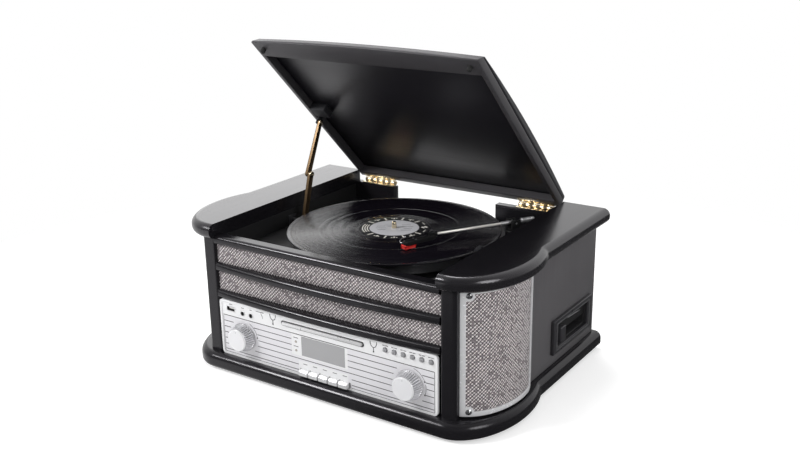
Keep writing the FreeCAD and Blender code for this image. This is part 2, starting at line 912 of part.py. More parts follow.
def make_drivers():
    """The loudspeakers: basket, cone and magnet, each held by its collar in the curved baffle."""
    point, normal, height = driver_place()
    depth = S["driver_depth"]
    wall = S["driver_wall"]
    rim = S["driver_radius"]
    magnet_radius = S["magnet_radius"]
    collar = S["collar_length"]
    collar_radius = S["collar_radius"]
    neck = S["magnet_height"] - depth
    inside = collar_radius - wall
    basket = [(magnet_radius, neck), (rim, -wall), (rim, 0), (collar_radius, 0), (collar_radius, collar),
              (inside, collar), (inside, 0), (magnet_radius - wall, neck + wall), (0, neck + wall), (0, neck)]
    magnet = [(0, -depth), (magnet_radius, -depth), (magnet_radius, neck), (0, neck)]
    cone_foot = neck + 2 * wall
    cone_edge = inside - S["slack"]
    cone = [(0, cone_foot), (wall * 2, cone_foot), (cone_edge, collar - wall), (cone_edge, collar),
            (wall * 2, cone_foot + wall), (0, cone_foot + wall)]
    solids = []
    for name, profile in (("basket", basket), ("magnet", magnet), ("cone", cone)):
        solid = turned(f"driver_{name}", profile, (0, 0, 0))
        aimed(solid, point, normal, height)
        solids += [solid, mirrored(f"driver_{name}_left", solid)]
    node("speaker_drivers", group("speaker_drivers", *solids))


def make_inner_frame():
    """The front baffle, inner walls, deck battens and curved speaker baffles that carry the rest."""
    board_size = (S["bay_width"], S["baffle_thickness"], rim_top - S["rail_height"] - plate_top)
    baffle = centred_box("front_baffle", board_size, (0, S["bow_seat"], plate_top))
    wall_size = (S["wall_thickness"], back_front - post_back, S["post_height"])
    wall = box("inner_wall", wall_size, (bay_half, post_back, plinth_top))
    hole = cassette_hole("wall_hole", bay_half - S["gap"], S["wall_thickness"] + 2 * S["gap"])
    right_wall = cut("inner_wall_right", wall, hole)
    batten_size = (S["batten_width"], back_front - baffle_back, S["batten_height"])
    batten_at = (bay_half - S["batten_width"], baffle_back, deck_under - S["batten_height"])
    batten = box("deck_batten", batten_size, batten_at)
    shell = grille_shell("speaker_shell", -S["shell_thickness"], 0, post_outer, S["grille_rear_y"], S["post_height"],
                         plinth_top)
    point, normal, height = driver_place()
    bore = doc.addObject("Part::Cylinder", "driver_bore")
    bind(bore, Radius=S["collar_radius"] + S["slack"], Height=S["driver_set_in"] * 3)
    aimed(bore, point, normal, height)
    shell = cut("speaker_baffle", shell, bore, *screw_holes("shell_hole"))
    node("inner_frame", group("inner_frame", baffle, right_wall, mirrored("inner_wall_left", wall), batten,
                              mirrored("deck_batten_left", batten), shell, mirrored("speaker_baffle_left", shell)))


def motor_place():
    """Return the motor shaft's place on the deck."""
    x = S["platter_x"] + S["motor_offset"] * cosine(S["motor_bearing"])
    y = platter_y + S["motor_offset"] * sine(S["motor_bearing"])
    return x, y


def make_deck():
    """The deck plate with the spindle's bearing boss, and the motor that hangs under it."""
    size = (S["bay_width"], back_front - baffle_back, S["deck_thickness"])
    plate = centred_box("deck_board", size, (0, baffle_back, deck_under))
    boss = rod("bearing_boss", S["boss_radius"], S["boss_depth"],
               (S["platter_x"], platter_y, deck_under - S["boss_depth"]))
    through = S["deck_thickness"] + S["boss_depth"]
    bearing = rod("bearing_bore", S["spindle_radius"] + S["fit"], through,
                  (S["platter_x"], platter_y, deck_under - S["boss_depth"]))
    motor_x, motor_y = motor_place()
    shaft_hole = rod("motor_hole", S["motor_hole_radius"], S["deck_thickness"], (motor_x, motor_y, deck_under))
    switch_hole = rod("switch_hole", S["switch_stem_radius"] + S["fit"], S["deck_thickness"],
                      (switch_x, S["switch_y"], deck_under))
    node("deck_plate", cut("deck_plate", fuse("deck_and_boss", plate, boss), bearing, shaft_hole, switch_hole))

    low = deck_under - S["motor_height"]
    can = rod("motor_can", S["motor_radius"], S["motor_height"], (motor_x, motor_y, low))
    bore = rod("motor_bore", S["shaft_radius"] + S["fit"], S["motor_height"], (motor_x, motor_y, low))
    node("drive_motor", cut("drive_motor", can, bore))


def make_platter():
    """The platter with its belt rim, the record on it with a label, and the spindle through both."""
    top = S["platter_height"]
    plate_foot = top - S["platter_plate"]
    skirt_foot = top - S["platter_skirt"]
    rim_foot = top - S["belt_rim_height"]
    skirt_in = S["platter_radius"] - S["platter_skirt_wall"]
    rim_in = S["belt_rim_radius"] - S["belt_rim_wall"]
    bore = S["spindle_radius"]
    profile = [(bore, 0), (S["hub_radius"], 0), (S["hub_radius"], plate_foot), (rim_in, plate_foot), (rim_in, rim_foot),
               (S["belt_rim_radius"], rim_foot), (S["belt_rim_radius"], plate_foot), (skirt_in, plate_foot),
               (skirt_in, skirt_foot), (S["platter_radius"], skirt_foot), (S["platter_radius"], top), (bore, top)]
    centre = (S["platter_x"], platter_y)
    node("platter", turned("platter", profile, (*centre, platter_top - top)))

    hole = S["record_hole_radius"]
    thick = S["record_thickness"]
    disc = [(hole, 0), (S["record_radius"], 0), (S["record_radius"], thick), (hole, thick)]
    paper = [(hole, 0), (S["label_radius"], 0), (S["label_radius"], S["label_thickness"]), (hole, S["label_thickness"])]
    record = turned("record_disc", disc, (*centre, platter_top))
    label = turned("record_label", paper, (*centre, record_top))
    node("record", group("record", record, label))

    low = deck_top - S["spindle_below"]
    tip = record_top + S["spindle_above"] - low
    shoulder = tip - S["spindle_radius"]
    pin = [(0, 0), (S["spindle_radius"], 0), (S["spindle_radius"], shoulder), (S["spindle_radius"] / 2, tip), (0, tip)]
    node("spindle", turned("spindle", pin, (*centre, low)))


def make_belt_drive():
    """The motor pulley on its shaft, and the flat belt from it to the platter's rim."""
    motor_x, motor_y = motor_place()
    radius = S["pulley_radius"]
    flange = radius + S["pulley_flange"]
    lip = S["pulley_flange_thickness"]
    height = S["pulley_height"]
    shaft_foot = -S["pulley_lift"] - S["deck_thickness"] - S["shaft_below"]
    profile = [(0, shaft_foot), (S["shaft_radius"], shaft_foot), (S["shaft_radius"], 0), (flange, 0), (flange, lip),
               (radius, lip), (radius, height - lip), (flange, height - lip), (flange, height), (0, height)]
    pulley_foot = deck_top + S["pulley_lift"]
    node("motor_pulley", turned("motor_pulley", profile, (motor_x, motor_y, pulley_foot)))

    inner = belt_loop(S["gap"])
    outer = belt_loop(S["gap"] + S["belt_thickness"])
    belt_foot = pulley_foot + (height - S["belt_width"]) / 2
    node("drive_belt", padded("drive_belt", inner + outer, S["belt_width"], (0, 0, belt_foot)))


def belt_loop(offset):
    """Return the closed loop round the platter's rim and the pulley, at an offset from both."""
    large = float(S["belt_rim_radius"] + offset)
    small = float(S["pulley_radius"] + offset)
    distance = float(S["motor_offset"])
    bearing = math.radians(float(S["motor_bearing"]))
    spread = math.acos((large - small) / distance)
    hub = Vector(float(S["platter_x"]), float(platter_y), 0)
    wheel = hub + Vector(math.cos(bearing), math.sin(bearing), 0) * distance

    def rim(centre, radius, turn):
        return centre + Vector(math.cos(bearing + turn), math.sin(bearing + turn), 0) * radius

    return [
        Part.Arc(rim(hub, large, spread), rim(hub, large, math.pi), rim(hub, large, -spread)),
        Part.LineSegment(rim(hub, large, -spread), rim(wheel, small, -spread)),
        Part.Arc(rim(wheel, small, -spread), rim(wheel, small, 0), rim(wheel, small, spread)),
        Part.LineSegment(rim(wheel, small, spread), rim(hub, large, spread)),
    ]


def place_arm(part):
    """Turn a part of the tonearm, built along X from the pivot, to its place over the record."""
    return place(part, S["arm_x"], arm_y, arm_level, AXIS_Z, S["arm_angle"])


def make_tonearm():
    """The pedestal, gimbal, tube, headshell and cartridge, and the rest beside the record."""
    disc_foot = -S["gimbal_drop"] - S["gimbal_disc"]
    pedestal_top = arm_level + disc_foot - S["gap"]
    pedestal = rod("arm_column", S["pedestal_radius"], pedestal_top - deck_top, (S["arm_x"], arm_y, deck_top))
    stem_deep = S["gimbal_stem"] + S["gap"]
    socket = rod("arm_socket", S["gimbal_stem_radius"] + S["fit"], stem_deep,
                 (S["arm_x"], arm_y, pedestal_top - stem_deep))
    node("arm_pedestal", cut("arm_pedestal", pedestal, socket))

    disc = rod("gimbal_disc", S["gimbal_radius"], S["gimbal_disc"], (0, 0, disc_foot), put=seat)
    stem = rod("gimbal_stem", S["gimbal_stem_radius"], S["gimbal_stem"], (0, 0, disc_foot - S["gimbal_stem"]), put=seat)
    cheek_size = (S["cheek_length"], S["cheek_thickness"], S["gimbal_drop"] + S["cheek_above"])
    cheeks = []
    for name, y in (("cheek_right", S["cheek_gap"] / 2), ("cheek_left", -S["cheek_gap"] / 2 - S["cheek_thickness"])):
        cheeks.append(box(name, cheek_size, (-S["cheek_length"] / 2, y, -S["gimbal_drop"]), put=seat))
    span = S["cheek_gap"] + 2 * S["cheek_thickness"]
    pin_hole = rod("gimbal_pin_hole", S["arm_pin_radius"] + S["fit"], span, (0, -span / 2, 0), "rear", put=seat)
    gimbal = cut("arm_gimbal", fuse("gimbal_yoke", disc, stem, *cheeks), pin_hole)
    node("arm_gimbal", place_arm(gimbal))

    tube_from = S["arm_weight_length"] - S["arm_tail_length"]
    tube = rod("arm_bar", S["arm_tube_radius"], S["arm_tube_length"] - tube_from, (tube_from, 0, 0), "right", put=seat)
    weight = rod("arm_weight", S["arm_weight_radius"], S["arm_weight_length"], (-S["arm_tail_length"], 0, 0), "right",
                 put=seat)
    pin = rod("arm_pin", S["arm_pin_radius"], span, (0, -span / 2, 0), "rear", put=seat)
    node("arm_tube", place_arm(fuse("arm_tube", tube, weight, pin)))
    make_headshell()
    make_arm_rest()


def make_headshell():
    """The headshell on the tube's end, set at its offset angle, and the cartridge under its tip."""
    collar_from = S["arm_tube_length"] - S["headshell_collar"]
    collar = rod("headshell_collar", S["headshell_collar_radius"], S["headshell_collar"] + S["slack"],
                 (collar_from, 0, 0), "right", put=seat)
    drop = S["headshell_height"]

    def beside(part, along, across, z):
        start_x = S["arm_tube_length"] + along * cosine(S["headshell_angle"]) - across * sine(S["headshell_angle"])
        start_y = along * sine(S["headshell_angle"]) + across * cosine(S["headshell_angle"])
        return seat(part, start_x, start_y, z, AXIS_Z, S["headshell_angle"])

    size = (S["headshell_length"], S["headshell_width"], S["headshell_height"])
    block = box("headshell_block", size, (0, -S["headshell_width"] / 2, -drop), put=beside)
    bridge_size = (S["headshell_collar"], S["headshell_width"], S["headshell_collar_radius"] * 0.75)
    bridge = box("headshell_bridge", bridge_size, (0, -S["headshell_width"] / 2, 0), put=beside)
    reach = S["lift_bar_offset"]
    arm_size = (S["lift_bar"], reach, S["lift_bar"])
    lift_y = -S["headshell_width"] / 2 - reach
    lift_at = (S["headshell_length"] - S["lift_bar"], lift_y, -drop + S["lift_bar"])
    lift_arm = box("lift_arm", arm_size, lift_at, put=beside)
    bar_size = (S["lift_bar_length"], S["lift_bar"], S["lift_bar"])
    bar_at = (S["headshell_length"] - S["lift_bar_length"], lift_y, -drop + S["lift_bar"])
    lift_bar = box("lift_bar", bar_size, bar_at, put=beside)
    shell = fuse("headshell_solid", collar, block, bridge, lift_arm, lift_bar)
    bore = rod("headshell_bore", S["arm_tube_radius"], S["headshell_collar"], (collar_from, 0, 0), "right", put=seat)
    node("headshell", place_arm(cut("headshell", shell, bore)))

    body_size = (S["cartridge_length"], S["cartridge_width"], S["cartridge_height"])
    body_at = (S["headshell_length"] - S["cartridge_length"], -S["cartridge_width"] / 2, -drop - S["cartridge_height"])
    body = box("cartridge_body", body_size, body_at, put=beside)
    tip_z = S["stylus_gap"] - S["arm_above_record"]
    stylus = doc.addObject("Part::Cone", "stylus")
    bind(stylus, Radius1=S["stylus_radius"] / 4, Radius2=S["stylus_radius"], Height=-drop - S["cartridge_height"] - tip_z)
    beside(stylus, S["headshell_length"] - S["cartridge_length"] / 3, 0, tip_z)
    node("cartridge", place_arm(fuse("cartridge", body, stylus)))


def make_arm_rest():
    """The post that the arm is laid on: a ledge just under the tube, with a stop on its outer side."""
    stop_top = arm_level - S["arm_tube_radius"] - S["rest_gap"]
    ledge_foot = stop_top - S["rest_prong"] - S["rest_ledge_thickness"]
    post = rod("rest_post", S["rest_radius"], ledge_foot - deck_top, (S["rest_x"], rest_y, deck_top))
    ledge_x = S["rest_x"] - S["rest_ledge"]
    ledge_y = rest_y - S["rest_radius"]
    size = (S["rest_ledge"] + S["rest_radius"], 2 * S["rest_radius"], S["rest_prong"] + S["rest_ledge_thickness"])
    head = box("rest_head", size, (ledge_x, ledge_y, ledge_foot))
    slot_size = (S["rest_ledge"] - S["rest_stop"], 2 * S["rest_radius"], S["rest_prong"])
    slot = box("rest_slot", slot_size, (ledge_x, ledge_y, stop_top - S["rest_prong"]))
    node("arm_rest", cut("arm_rest", fuse("rest_solid", post, head), slot))

    stem_low = -S["deck_thickness"] - S["gap"]
    disc = [(0, stem_low), (S["switch_stem_radius"], stem_low), (S["switch_stem_radius"], 0), (S["switch_radius"], 0),
            (S["switch_radius"], S["switch_height"]), (0, S["switch_height"])]
    at_switch = (switch_x, S["switch_y"], deck_top + S["gap"])
    dial = turned("switch_dial", disc, at_switch)
    lever_size = (S["switch_radius"] / 2, S["switch_lever"], S["switch_height"])
    lever = centred_box("switch_lever", lever_size, (switch_x, S["switch_y"] - S["switch_lever"], at_switch[2]))
    node("speed_switch", fuse("speed_switch", dial, lever))


def rounded_slab(name, width, thickness, height, corner, radius):
    """Return an upright slab with its four front corners rounded."""
    slab = centred_box(f"{name}_slab", (width, thickness, height), corner)
    return rounded(name, slab, radius, lambda edge: runs_along(edge, AXIS_Y))


def key_x(number):
    """Return the middle of one key."""
    return S["key_x"] + S["key_pitch"] * (number - (int(S["key_count"].number) - 1) / 2)


def button_x(number):
    """Return the middle of one round button."""
    middle = plate_half - S["button_in"]
    return middle + S["button_pitch"] * (number - (int(S["button_count"].number) - 1) / 2)


def jack_start(number, y):
    """Return where one front jack starts, at a depth."""
    return S["jack_in"] - plate_half + S["jack_pitch"] * (number - 0.5), y, plinth_top + S["jack_z"]


def line_start(number, y):
    """Return where one rear line socket starts, at a depth."""
    return -S["line_x"] + S["line_pitch"] * (number - 0.5), y, plinth_top + S["socket_z"] + S["inlet_height"] / 2


def make_control_plate():
    """The silver plate with its raised rim, open for each control that comes through it."""
    front = -S["plate_proud"]
    deep = S["plate_thickness"]
    base = rounded_slab("plate_base", S["plate_width"], deep, S["plate_height"], (0, front, plinth_top),
                        S["plate_corner"])
    rim_front = front - S["plate_rim_proud"]
    rim = rounded_slab("plate_rim", S["plate_width"], S["plate_rim_proud"], S["plate_height"],
                       (0, rim_front, plinth_top), S["plate_corner"])
    field_size = (S["plate_width"] - 2 * S["plate_rim"], S["plate_height"] - 2 * S["plate_rim"])
    field = rounded_slab("plate_field", field_size[0], S["plate_rim_proud"], field_size[1],
                         (0, rim_front, plinth_top + S["plate_rim"]), S["plate_corner"] - S["plate_rim"] / 2)
    plate = fuse("plate_solid", base, cut("plate_frame", rim, field))

    room = S["gap"]
    tools = [rod(f"knob_hole_{number}", S["knob_shaft_radius"] + S["fit"], deep,
                 (side * knob_x, front, plinth_top + S["knob_z"]), "rear")
             for number, side in enumerate((-1, 1))]
    tools += [rod(f"button_hole_{number}", S["button_radius"] + room, deep,
                  (button_x(number), front, plinth_top + S["button_z"]), "rear")
              for number in range(int(S["button_count"].number))]
    tools += [rod(f"jack_hole_{number}", S["jack_radius"], deep, jack_start(number, front), "rear")
              for number in range(2)]
    window_z = plinth_top + S["display_z"] - S["display_height"] / 2
    window_size = (S["display_width"], deep, S["display_height"])
    tools.append(centred_box("display_hole", window_size, (S["display_x"], front, window_z)))
    keys_width = S["key_pitch"] * (S["key_count"] - 1) + S["key_width"] + 2 * room
    keys_size = (keys_width, deep + S["plate_rim_proud"], S["key_height"] + 2 * room)
    tools.append(centred_box("key_slot", keys_size, (S["key_x"], rim_front, plinth_top + S["key_foot"] - room)))
    tray_size = (S["tray_width"] + 2 * room, deep, S["tray_front_height"] + 2 * room)
    tray_z = plinth_top + S["tray_z"] - S["tray_front_height"] / 2 - room
    tools.append(centred_box("tray_slot", tray_size, (0, front, tray_z)))
    usb_z = plinth_top + S["usb_z"] - S["usb_height"] / 2
    tools.append(centred_box("usb_hole", (S["usb_width"], deep, S["usb_height"]), (-usb_x, front, usb_z)))
    node("control_plate", cut("control_plate", plate, *tools))


def make_display_and_sockets():
    """The display window behind the plate, and the USB and jack sockets in it."""
    front = -S["plate_proud"]
    back = front + S["plate_thickness"]
    room = S["slack"]
    size = (S["display_width"] - 2 * room, S["plate_thickness"], S["display_height"] - 2 * room)
    low = plinth_top + S["display_z"] - S["display_height"] / 2
    pane = centred_box("display_pane", size, (S["display_x"], front, low + room))
    lip = S["display_lip"]
    lip_size = (S["display_width"] + 2 * lip, S["display_lip_thickness"], S["display_height"] + 2 * lip)
    flange = centred_box("display_flange", lip_size, (S["display_x"], back, low - lip))
    node("display_window", fuse("display_window", pane, flange))

    usb_z = plinth_top + S["usb_z"] - S["usb_height"] / 2
    shell = centred_box("usb_shell", (S["usb_width"], S["usb_depth"], S["usb_height"]), (-usb_x, front, usb_z))
    wall = S["usb_wall"]
    mouth_size = (S["usb_width"] - 2 * wall, S["usb_depth"] - wall, S["usb_height"] - 2 * wall)
    mouth = centred_box("usb_mouth", mouth_size, (-usb_x, front, usb_z + wall))
    tongue_size = (S["usb_width"] - 4 * wall, S["usb_depth"] - 2 * wall, S["usb_tongue"])
    tongue = centred_box("usb_tongue", tongue_size,
                         (-usb_x, front + 2 * wall, plinth_top + S["usb_z"] - S["usb_tongue"] / 4))
    usb = fuse("usb_socket", cut("usb_case", shell, mouth), tongue)
    jacks = []
    for number in range(2):
        start = jack_start(number, front - S["jack_proud"])
        case = rod(f"jack_case_{number}", S["jack_radius"], S["jack_depth"], start, "rear")
        bore = rod(f"jack_bore_{number}", S["jack_bore_radius"], S["jack_depth"] - wall, start, "rear")
        jacks.append(cut(f"jack_{number}", case, bore))
    node("front_sockets", group("front_sockets", usb, *jacks))


def make_controls():
    """The two knobs, the round buttons and the keys, each held in the plate by its shaft or stop."""
    front = -S["plate_proud"]
    back = front + S["plate_thickness"]
    length = S["knob_length"]
    for name, side in (("volume_knob", -1), ("tuning_knob", 1)):
        tail = -S["knob_shaft"]
        profile = [(0, tail), (S["knob_shaft_radius"], tail), (S["knob_shaft_radius"], 0), (S["knob_skirt_radius"], 0),
                   (S["knob_skirt_radius"], S["knob_skirt"]), (S["knob_radius"], S["knob_skirt"]),
                   (S["knob_radius"], length * 0.8), (S["knob_face_radius"], length), (0, length)]
        at_knob = (side * knob_x, front - S["knob_gap"], plinth_top + S["knob_z"])
        node(name, turned(name, profile, at_knob, "front"))

    stop = S["stop_thickness"]
    stop_y = back + S["gap"]
    reach = stop_y - front + S["button_proud"]
    for number in range(int(S["button_count"].number)):
        stop_radius = S["button_radius"] + S["button_stop"]
        profile = [(0, -stop), (stop_radius, -stop), (stop_radius, 0), (S["button_radius"], 0),
                   (S["button_radius"], reach), (0, reach)]
        at_button = (button_x(number), stop_y, plinth_top + S["button_z"])
        name = f"round_button_{number + 1}"
        node(name, turned(name, profile, at_button, "front"))

    for number in range(int(S["key_count"].number)):
        name = f"function_key_{number + 1}"
        foot = plinth_top + S["key_foot"]
        size = (S["key_width"], S["key_proud"] + stop_y - front, S["key_height"])
        body = centred_box(f"{name}_cap", size, (key_x(number), front - S["key_proud"], foot))
        stop_size = (S["key_width"], stop, S["key_height"] + S["key_stop"])
        tab = centred_box(f"{name}_stop", stop_size, (key_x(number), stop_y, foot))
        node(name, fuse(name, body, tab))


def make_disc_drive():
    """The disc tray, shut behind the plate's slot, and the loader that it slides in."""
    front = -S["plate_proud"]
    back = front + S["plate_thickness"]
    middle = plinth_top + S["tray_z"]
    bezel_size = (S["tray_width"], S["tray_front"] + S["plate_thickness"], S["tray_front_height"])
    bezel = centred_box("tray_bezel", bezel_size, (0, front - S["tray_front"], middle - S["tray_front_height"] / 2))
    bed_size = (S["tray_width"] - 2 * S["gap"], S["tray_length"], S["tray_thickness"])
    bed_z = middle - S["tray_thickness"] / 2
    bed = centred_box("tray_bed", bed_size, (0, back, bed_z))
    well = rod("tray_well", S["tray_well_radius"], S["tray_well_depth"],
               (0, back + S["tray_well_y"], bed_z + S["tray_thickness"] - S["tray_well_depth"]))
    node("cd_tray", fuse("cd_tray", bezel, cut("tray_bed_open", bed, well)))

    wall = S["loader_wall"]
    case_size = (S["tray_width"] + 2 * wall, S["loader_length"], plate_top - middle + S["loader_height"] / 2)
    case = centred_box("loader_case", case_size, (0, S["bow_seat"], middle - S["loader_height"] / 2))
    slot_size = (S["tray_width"] + 2 * S["gap"], S["tray_length"], S["tray_thickness"] + 2 * S["gap"])
    slot = centred_box("loader_slot", slot_size, (0, S["bow_seat"], bed_z - S["gap"]))
    node("cd_loader", cut("cd_loader", case, slot))


def make_cassette():
    """The cassette deck through the right side, its bezel and the push block beside the tape slot."""
    deck_y = cassette_y - S["cassette_width"] / 2
    deck_z = plinth_top + S["cassette_z"] - S["cassette_height"] / 2
    face_x = S["side_half"]
    case = box("cassette_case", (S["cassette_depth"], S["cassette_width"], S["cassette_height"]),
               (face_x - S["cassette_depth"], deck_y, deck_z))
    tape_y = deck_y + S["cassette_width"] - S["tape_from_edge"] - S["tape_width"]
    tape = box("tape_slot", (S["tape_depth"], S["tape_width"], S["tape_height"]),
               (face_x - S["tape_depth"], tape_y, deck_z + S["tape_below"]))
    room = S["gap"]
    push_y = deck_y + S["push_edge"]
    push_z = plinth_top + S["cassette_z"] - S["push_height"] / 2
    push_x = face_x + S["bezel_thickness"] + S["push_proud"] - S["push_length"]
    pocket_x = push_x - S["push_travel"] - room
    pocket = box("push_pocket", (face_x - pocket_x, S["push_width"] + 2 * room, S["push_height"] + 2 * room),
                 (pocket_x, push_y - room, push_z - room))
    node("cassette_deck", cut("cassette_deck", case, tape, pocket))

    bezel_y = cassette_y - S["bezel_width"] / 2
    bezel_z = plinth_top + S["cassette_z"] - S["bezel_height"] / 2
    slab = box("bezel_slab", (S["bezel_thickness"], S["bezel_width"], S["bezel_height"]), (face_x, bezel_y, bezel_z))
    window_z = plinth_top + S["cassette_z"] - S["bezel_window_height"] / 2
    window = box("bezel_window", (S["bezel_thickness"], S["cassette_width"], S["bezel_window_height"]),
                 (face_x, deck_y, window_z))
    node("cassette_bezel", cut("cassette_bezel", slab, window))
    push = box("cassette_button", (S["push_length"], S["push_width"], S["push_height"]), (push_x, push_y, push_z))
    node("cassette_button", push)


def make_electronics():
    """The circuit board on its standoffs, the transformer, and the sockets in the back panel."""
    rear = back_front - S["circuit_rear_gap"]
    board_y = rear - S["circuit_depth"]
    board_x = -S["circuit_x"]
    board_z = plinth_top + S["standoff_height"]
    board = box("circuit_board", (S["circuit_width"], S["circuit_depth"], S["circuit_thickness"]),
                (board_x, board_y, board_z))
    inset = S["standoff_inset"]
    legs = []
    for x in (board_x + inset, board_x + S["circuit_width"] - inset):
        for y in (board_y + inset, rear - inset):
            legs.append(rod(f"standoff_{len(legs)}", S["standoff_radius"], S["standoff_height"], (x, y, plinth_top)))
    coil = box("transformer", (S["coil_width"], S["coil_depth"], S["coil_height"]),
               (-S["coil_x"], rear - S["coil_depth"], plinth_top))
    node("power_board", group("power_board", board, *legs, coil))

    outer = S["cabinet_depth"]
    inlet_z = plinth_top + S["socket_z"]
    plug = centred_box("inlet_body", (S["inlet_width"], S["inlet_depth"], S["inlet_height"]),
                       (-inlet_x, outer - S["inlet_depth"], inlet_z))
    flange = S["inlet_flange"]
    flange_size = (S["inlet_width"] + 2 * flange, S["inlet_flange_thickness"], S["inlet_height"] + 2 * flange)
    face = centred_box("inlet_face", flange_size, (-inlet_x, outer, inlet_z - flange))
    lines = [rod(f"line_socket_{number}", S["line_radius"], S["line_depth"], line_start(number, back_front), "rear")
             for number in range(2)]
    node("rear_sockets", group("rear_sockets", fuse("mains_inlet", plug, face), *lines))


def place_lid(part):
    """Turn a part of the lid, built shut about the hinge axis, to where the lid stands open."""
    return place(part, 0, hinge_y, hinge_z, AXIS_X, -S["lid_angle"])


def lid_outline():
    """Return the shut lid's outline about the hinge axis, with its bowed front."""
    rear = -S["hinge_setback"]
    corner = -hinge_y - S["lid_front"]
    arc = Part.Arc(Vector(-float(lid_half), float(corner), 0), Vector(0, float(corner - S["lid_bow"]), 0),
                   Vector(float(lid_half), float(corner), 0))
    return [
        arc,
        line((lid_half, corner), (lid_half, rear)),
        line((lid_half, rear), (-lid_half, rear)),
        line((-lid_half, rear), (-lid_half, corner)),
    ]


def lid_bevel(name):
    """Return the tool that bevels the lid's bowed front edge above its nose."""
    run = S["lid_bevel_run"]
    bow = S["lid_bow"]
    reach = (lid_half * lid_half + bow * bow) / (bow * 2)
    corner = -hinge_y - S["lid_front"]
    foot = lid_drop + S["lid_nose"]
    block = box(f"{name}_block", (S["bay_width"], run * 2 + bow * 2, S["lid_bevel_height"]),
                (-bay_half, corner - bow * 2, foot), put=seat)
    cone = doc.addObject("Part::Cone", f"{name}_cone")
    bind(cone, Radius1=reach, Radius2=reach - run, Height=S["lid_bevel_height"])
    return cut(name, block, seat(cone, 0, corner - bow + reach, foot))


def lid_arch(name):
    """Return the tool that leaves the lid's top in a shallow arch from its bevel to its rear edge."""
    corner = -hinge_y - S["lid_front"]
    run = -S["hinge_setback"] - corner
    rise = S["lid_crown"]
    radius = (run * run / 4 + rise * rise) / (rise * 2)
    block = box(f"{name}_block", (S["bay_width"], run * 1.2, rise * 3), (-bay_half, run * -0.1, -rise), put=seat)
    drum = rod(f"{name}_drum", radius, S["bay_width"] * 2, (-S["bay_width"], run / 2, rise - radius), "right", put=seat)
    tilt = arctangent((S["lid_thickness"] - S["lid_front_height"]) / run)
    return seat(cut(name, block, drum), 0, corner, lid_drop + S["lid_front_height"], AXIS_X, tilt)


def make_lid():
    """The lid: an arched panel on a deep border frame, with bumpers under the front corners."""
    frame_height = S["lid_thickness"] - S["lid_panel_thickness"]
    panel_foot = lid_drop + frame_height
    board = padded("lid_board", lid_outline(), S["lid_panel_thickness"] + S["lid_crown"], (0, 0, panel_foot), put=seat)

    def is_upper_rear(edge):
        ends = [vertex.Point for vertex in edge.Vertexes]
        return all(at(point.y, -S["hinge_setback"]) and point.z > float(panel_foot) + 1 for point in ends)

    arched = cut("lid_board_arched", board, lid_bevel("panel_bevel"), lid_arch("panel_arch"))
    node("lid_panel", place_lid(rounded("lid_panel", arched, S["lid_edge_round"], is_upper_rear)))

    border = padded("lid_border", lid_outline(), frame_height, (0, 0, lid_drop), put=seat)
    corner = -hinge_y - S["lid_front"]
    field_front = corner + S["lid_border_front"]
    field_rear = -S["hinge_setback"] - S["lid_border_rear"]
    field_size = (2 * (lid_half - S["lid_border_side"]), field_rear - field_front, frame_height)
    field = centred_box("lid_field", field_size, (0, field_front, lid_drop), put=seat)
    node("lid_frame", place_lid(cut("lid_frame", border, field, lid_bevel("frame_bevel"))))

    height = S["lid_lift"] - S["bumper_gap"]
    bumpers = []
    for name, side in (("bumper_left", -1), ("bumper_right", 1)):
        bumpers.append(rod(name, S["bumper_radius"], height,
                           (side * (lid_half - S["bumper_side"]), corner + S["bumper_in"], lid_drop - height), put=seat))
    node("lid_bumpers", place_lid(group("lid_bumpers", *bumpers)))


def make_hinges():
    """The two butt hinges: leaves on the ears with their pins, and leaves under the lid."""
    count = int(S["hinge_knuckles"].number)
    step = S["hinge_length"] / count
    radius = S["hinge_radius"]
    leaf = S["hinge_leaf"]
    wide = S["hinge_leaf_width"]
    clear = radius + S["gap"]
    start = bay_half - S["hinge_in"] - S["hinge_length"] / 2

    def leaf_solid(name, numbers, leaf_z):
        plate = box(f"{name}_plate", (S["hinge_length"], wide - clear, leaf), (start, -wide, leaf_z), put=seat)
        solids = [plate]
        for number in numbers:
            knuckle_x = start + step * number + S["gap"] / 2
            length = step - S["gap"]
            solids.append(rod(f"{name}_knuckle_{number}", radius, length, (knuckle_x, 0, 0), "right", put=seat))
            solids.append(box(f"{name}_tab_{number}", (length, clear, leaf), (knuckle_x, -clear, leaf_z), put=seat))
        bore = rod(f"{name}_bore", S["hinge_pin_radius"] + S["fit"], S["hinge_length"], (start, 0, 0), "right", put=seat)
        return cut(name, fuse(f"{name}_solid", *solids), bore)

    fixed = leaf_solid("rear_leaf", range(0, count, 2), rim_top - hinge_z)
    pin = rod("hinge_pin", S["hinge_pin_radius"], S["hinge_length"], (start, 0, 0), "right", put=seat)
    ears = group("hinge_rear_leaves", fixed, mirrored("rear_leaf_left", fixed), pin, mirrored("hinge_pin_left", pin))
    node("hinge_rear_leaves", place(ears, 0, hinge_y, hinge_z))
    moving = leaf_solid("lid_leaf", range(1, count, 2), lid_drop - leaf)
    leaves = group("hinge_lid_leaves", moving, mirrored("lid_leaf_left", moving))
    node("hinge_lid_leaves", place_lid(leaves))


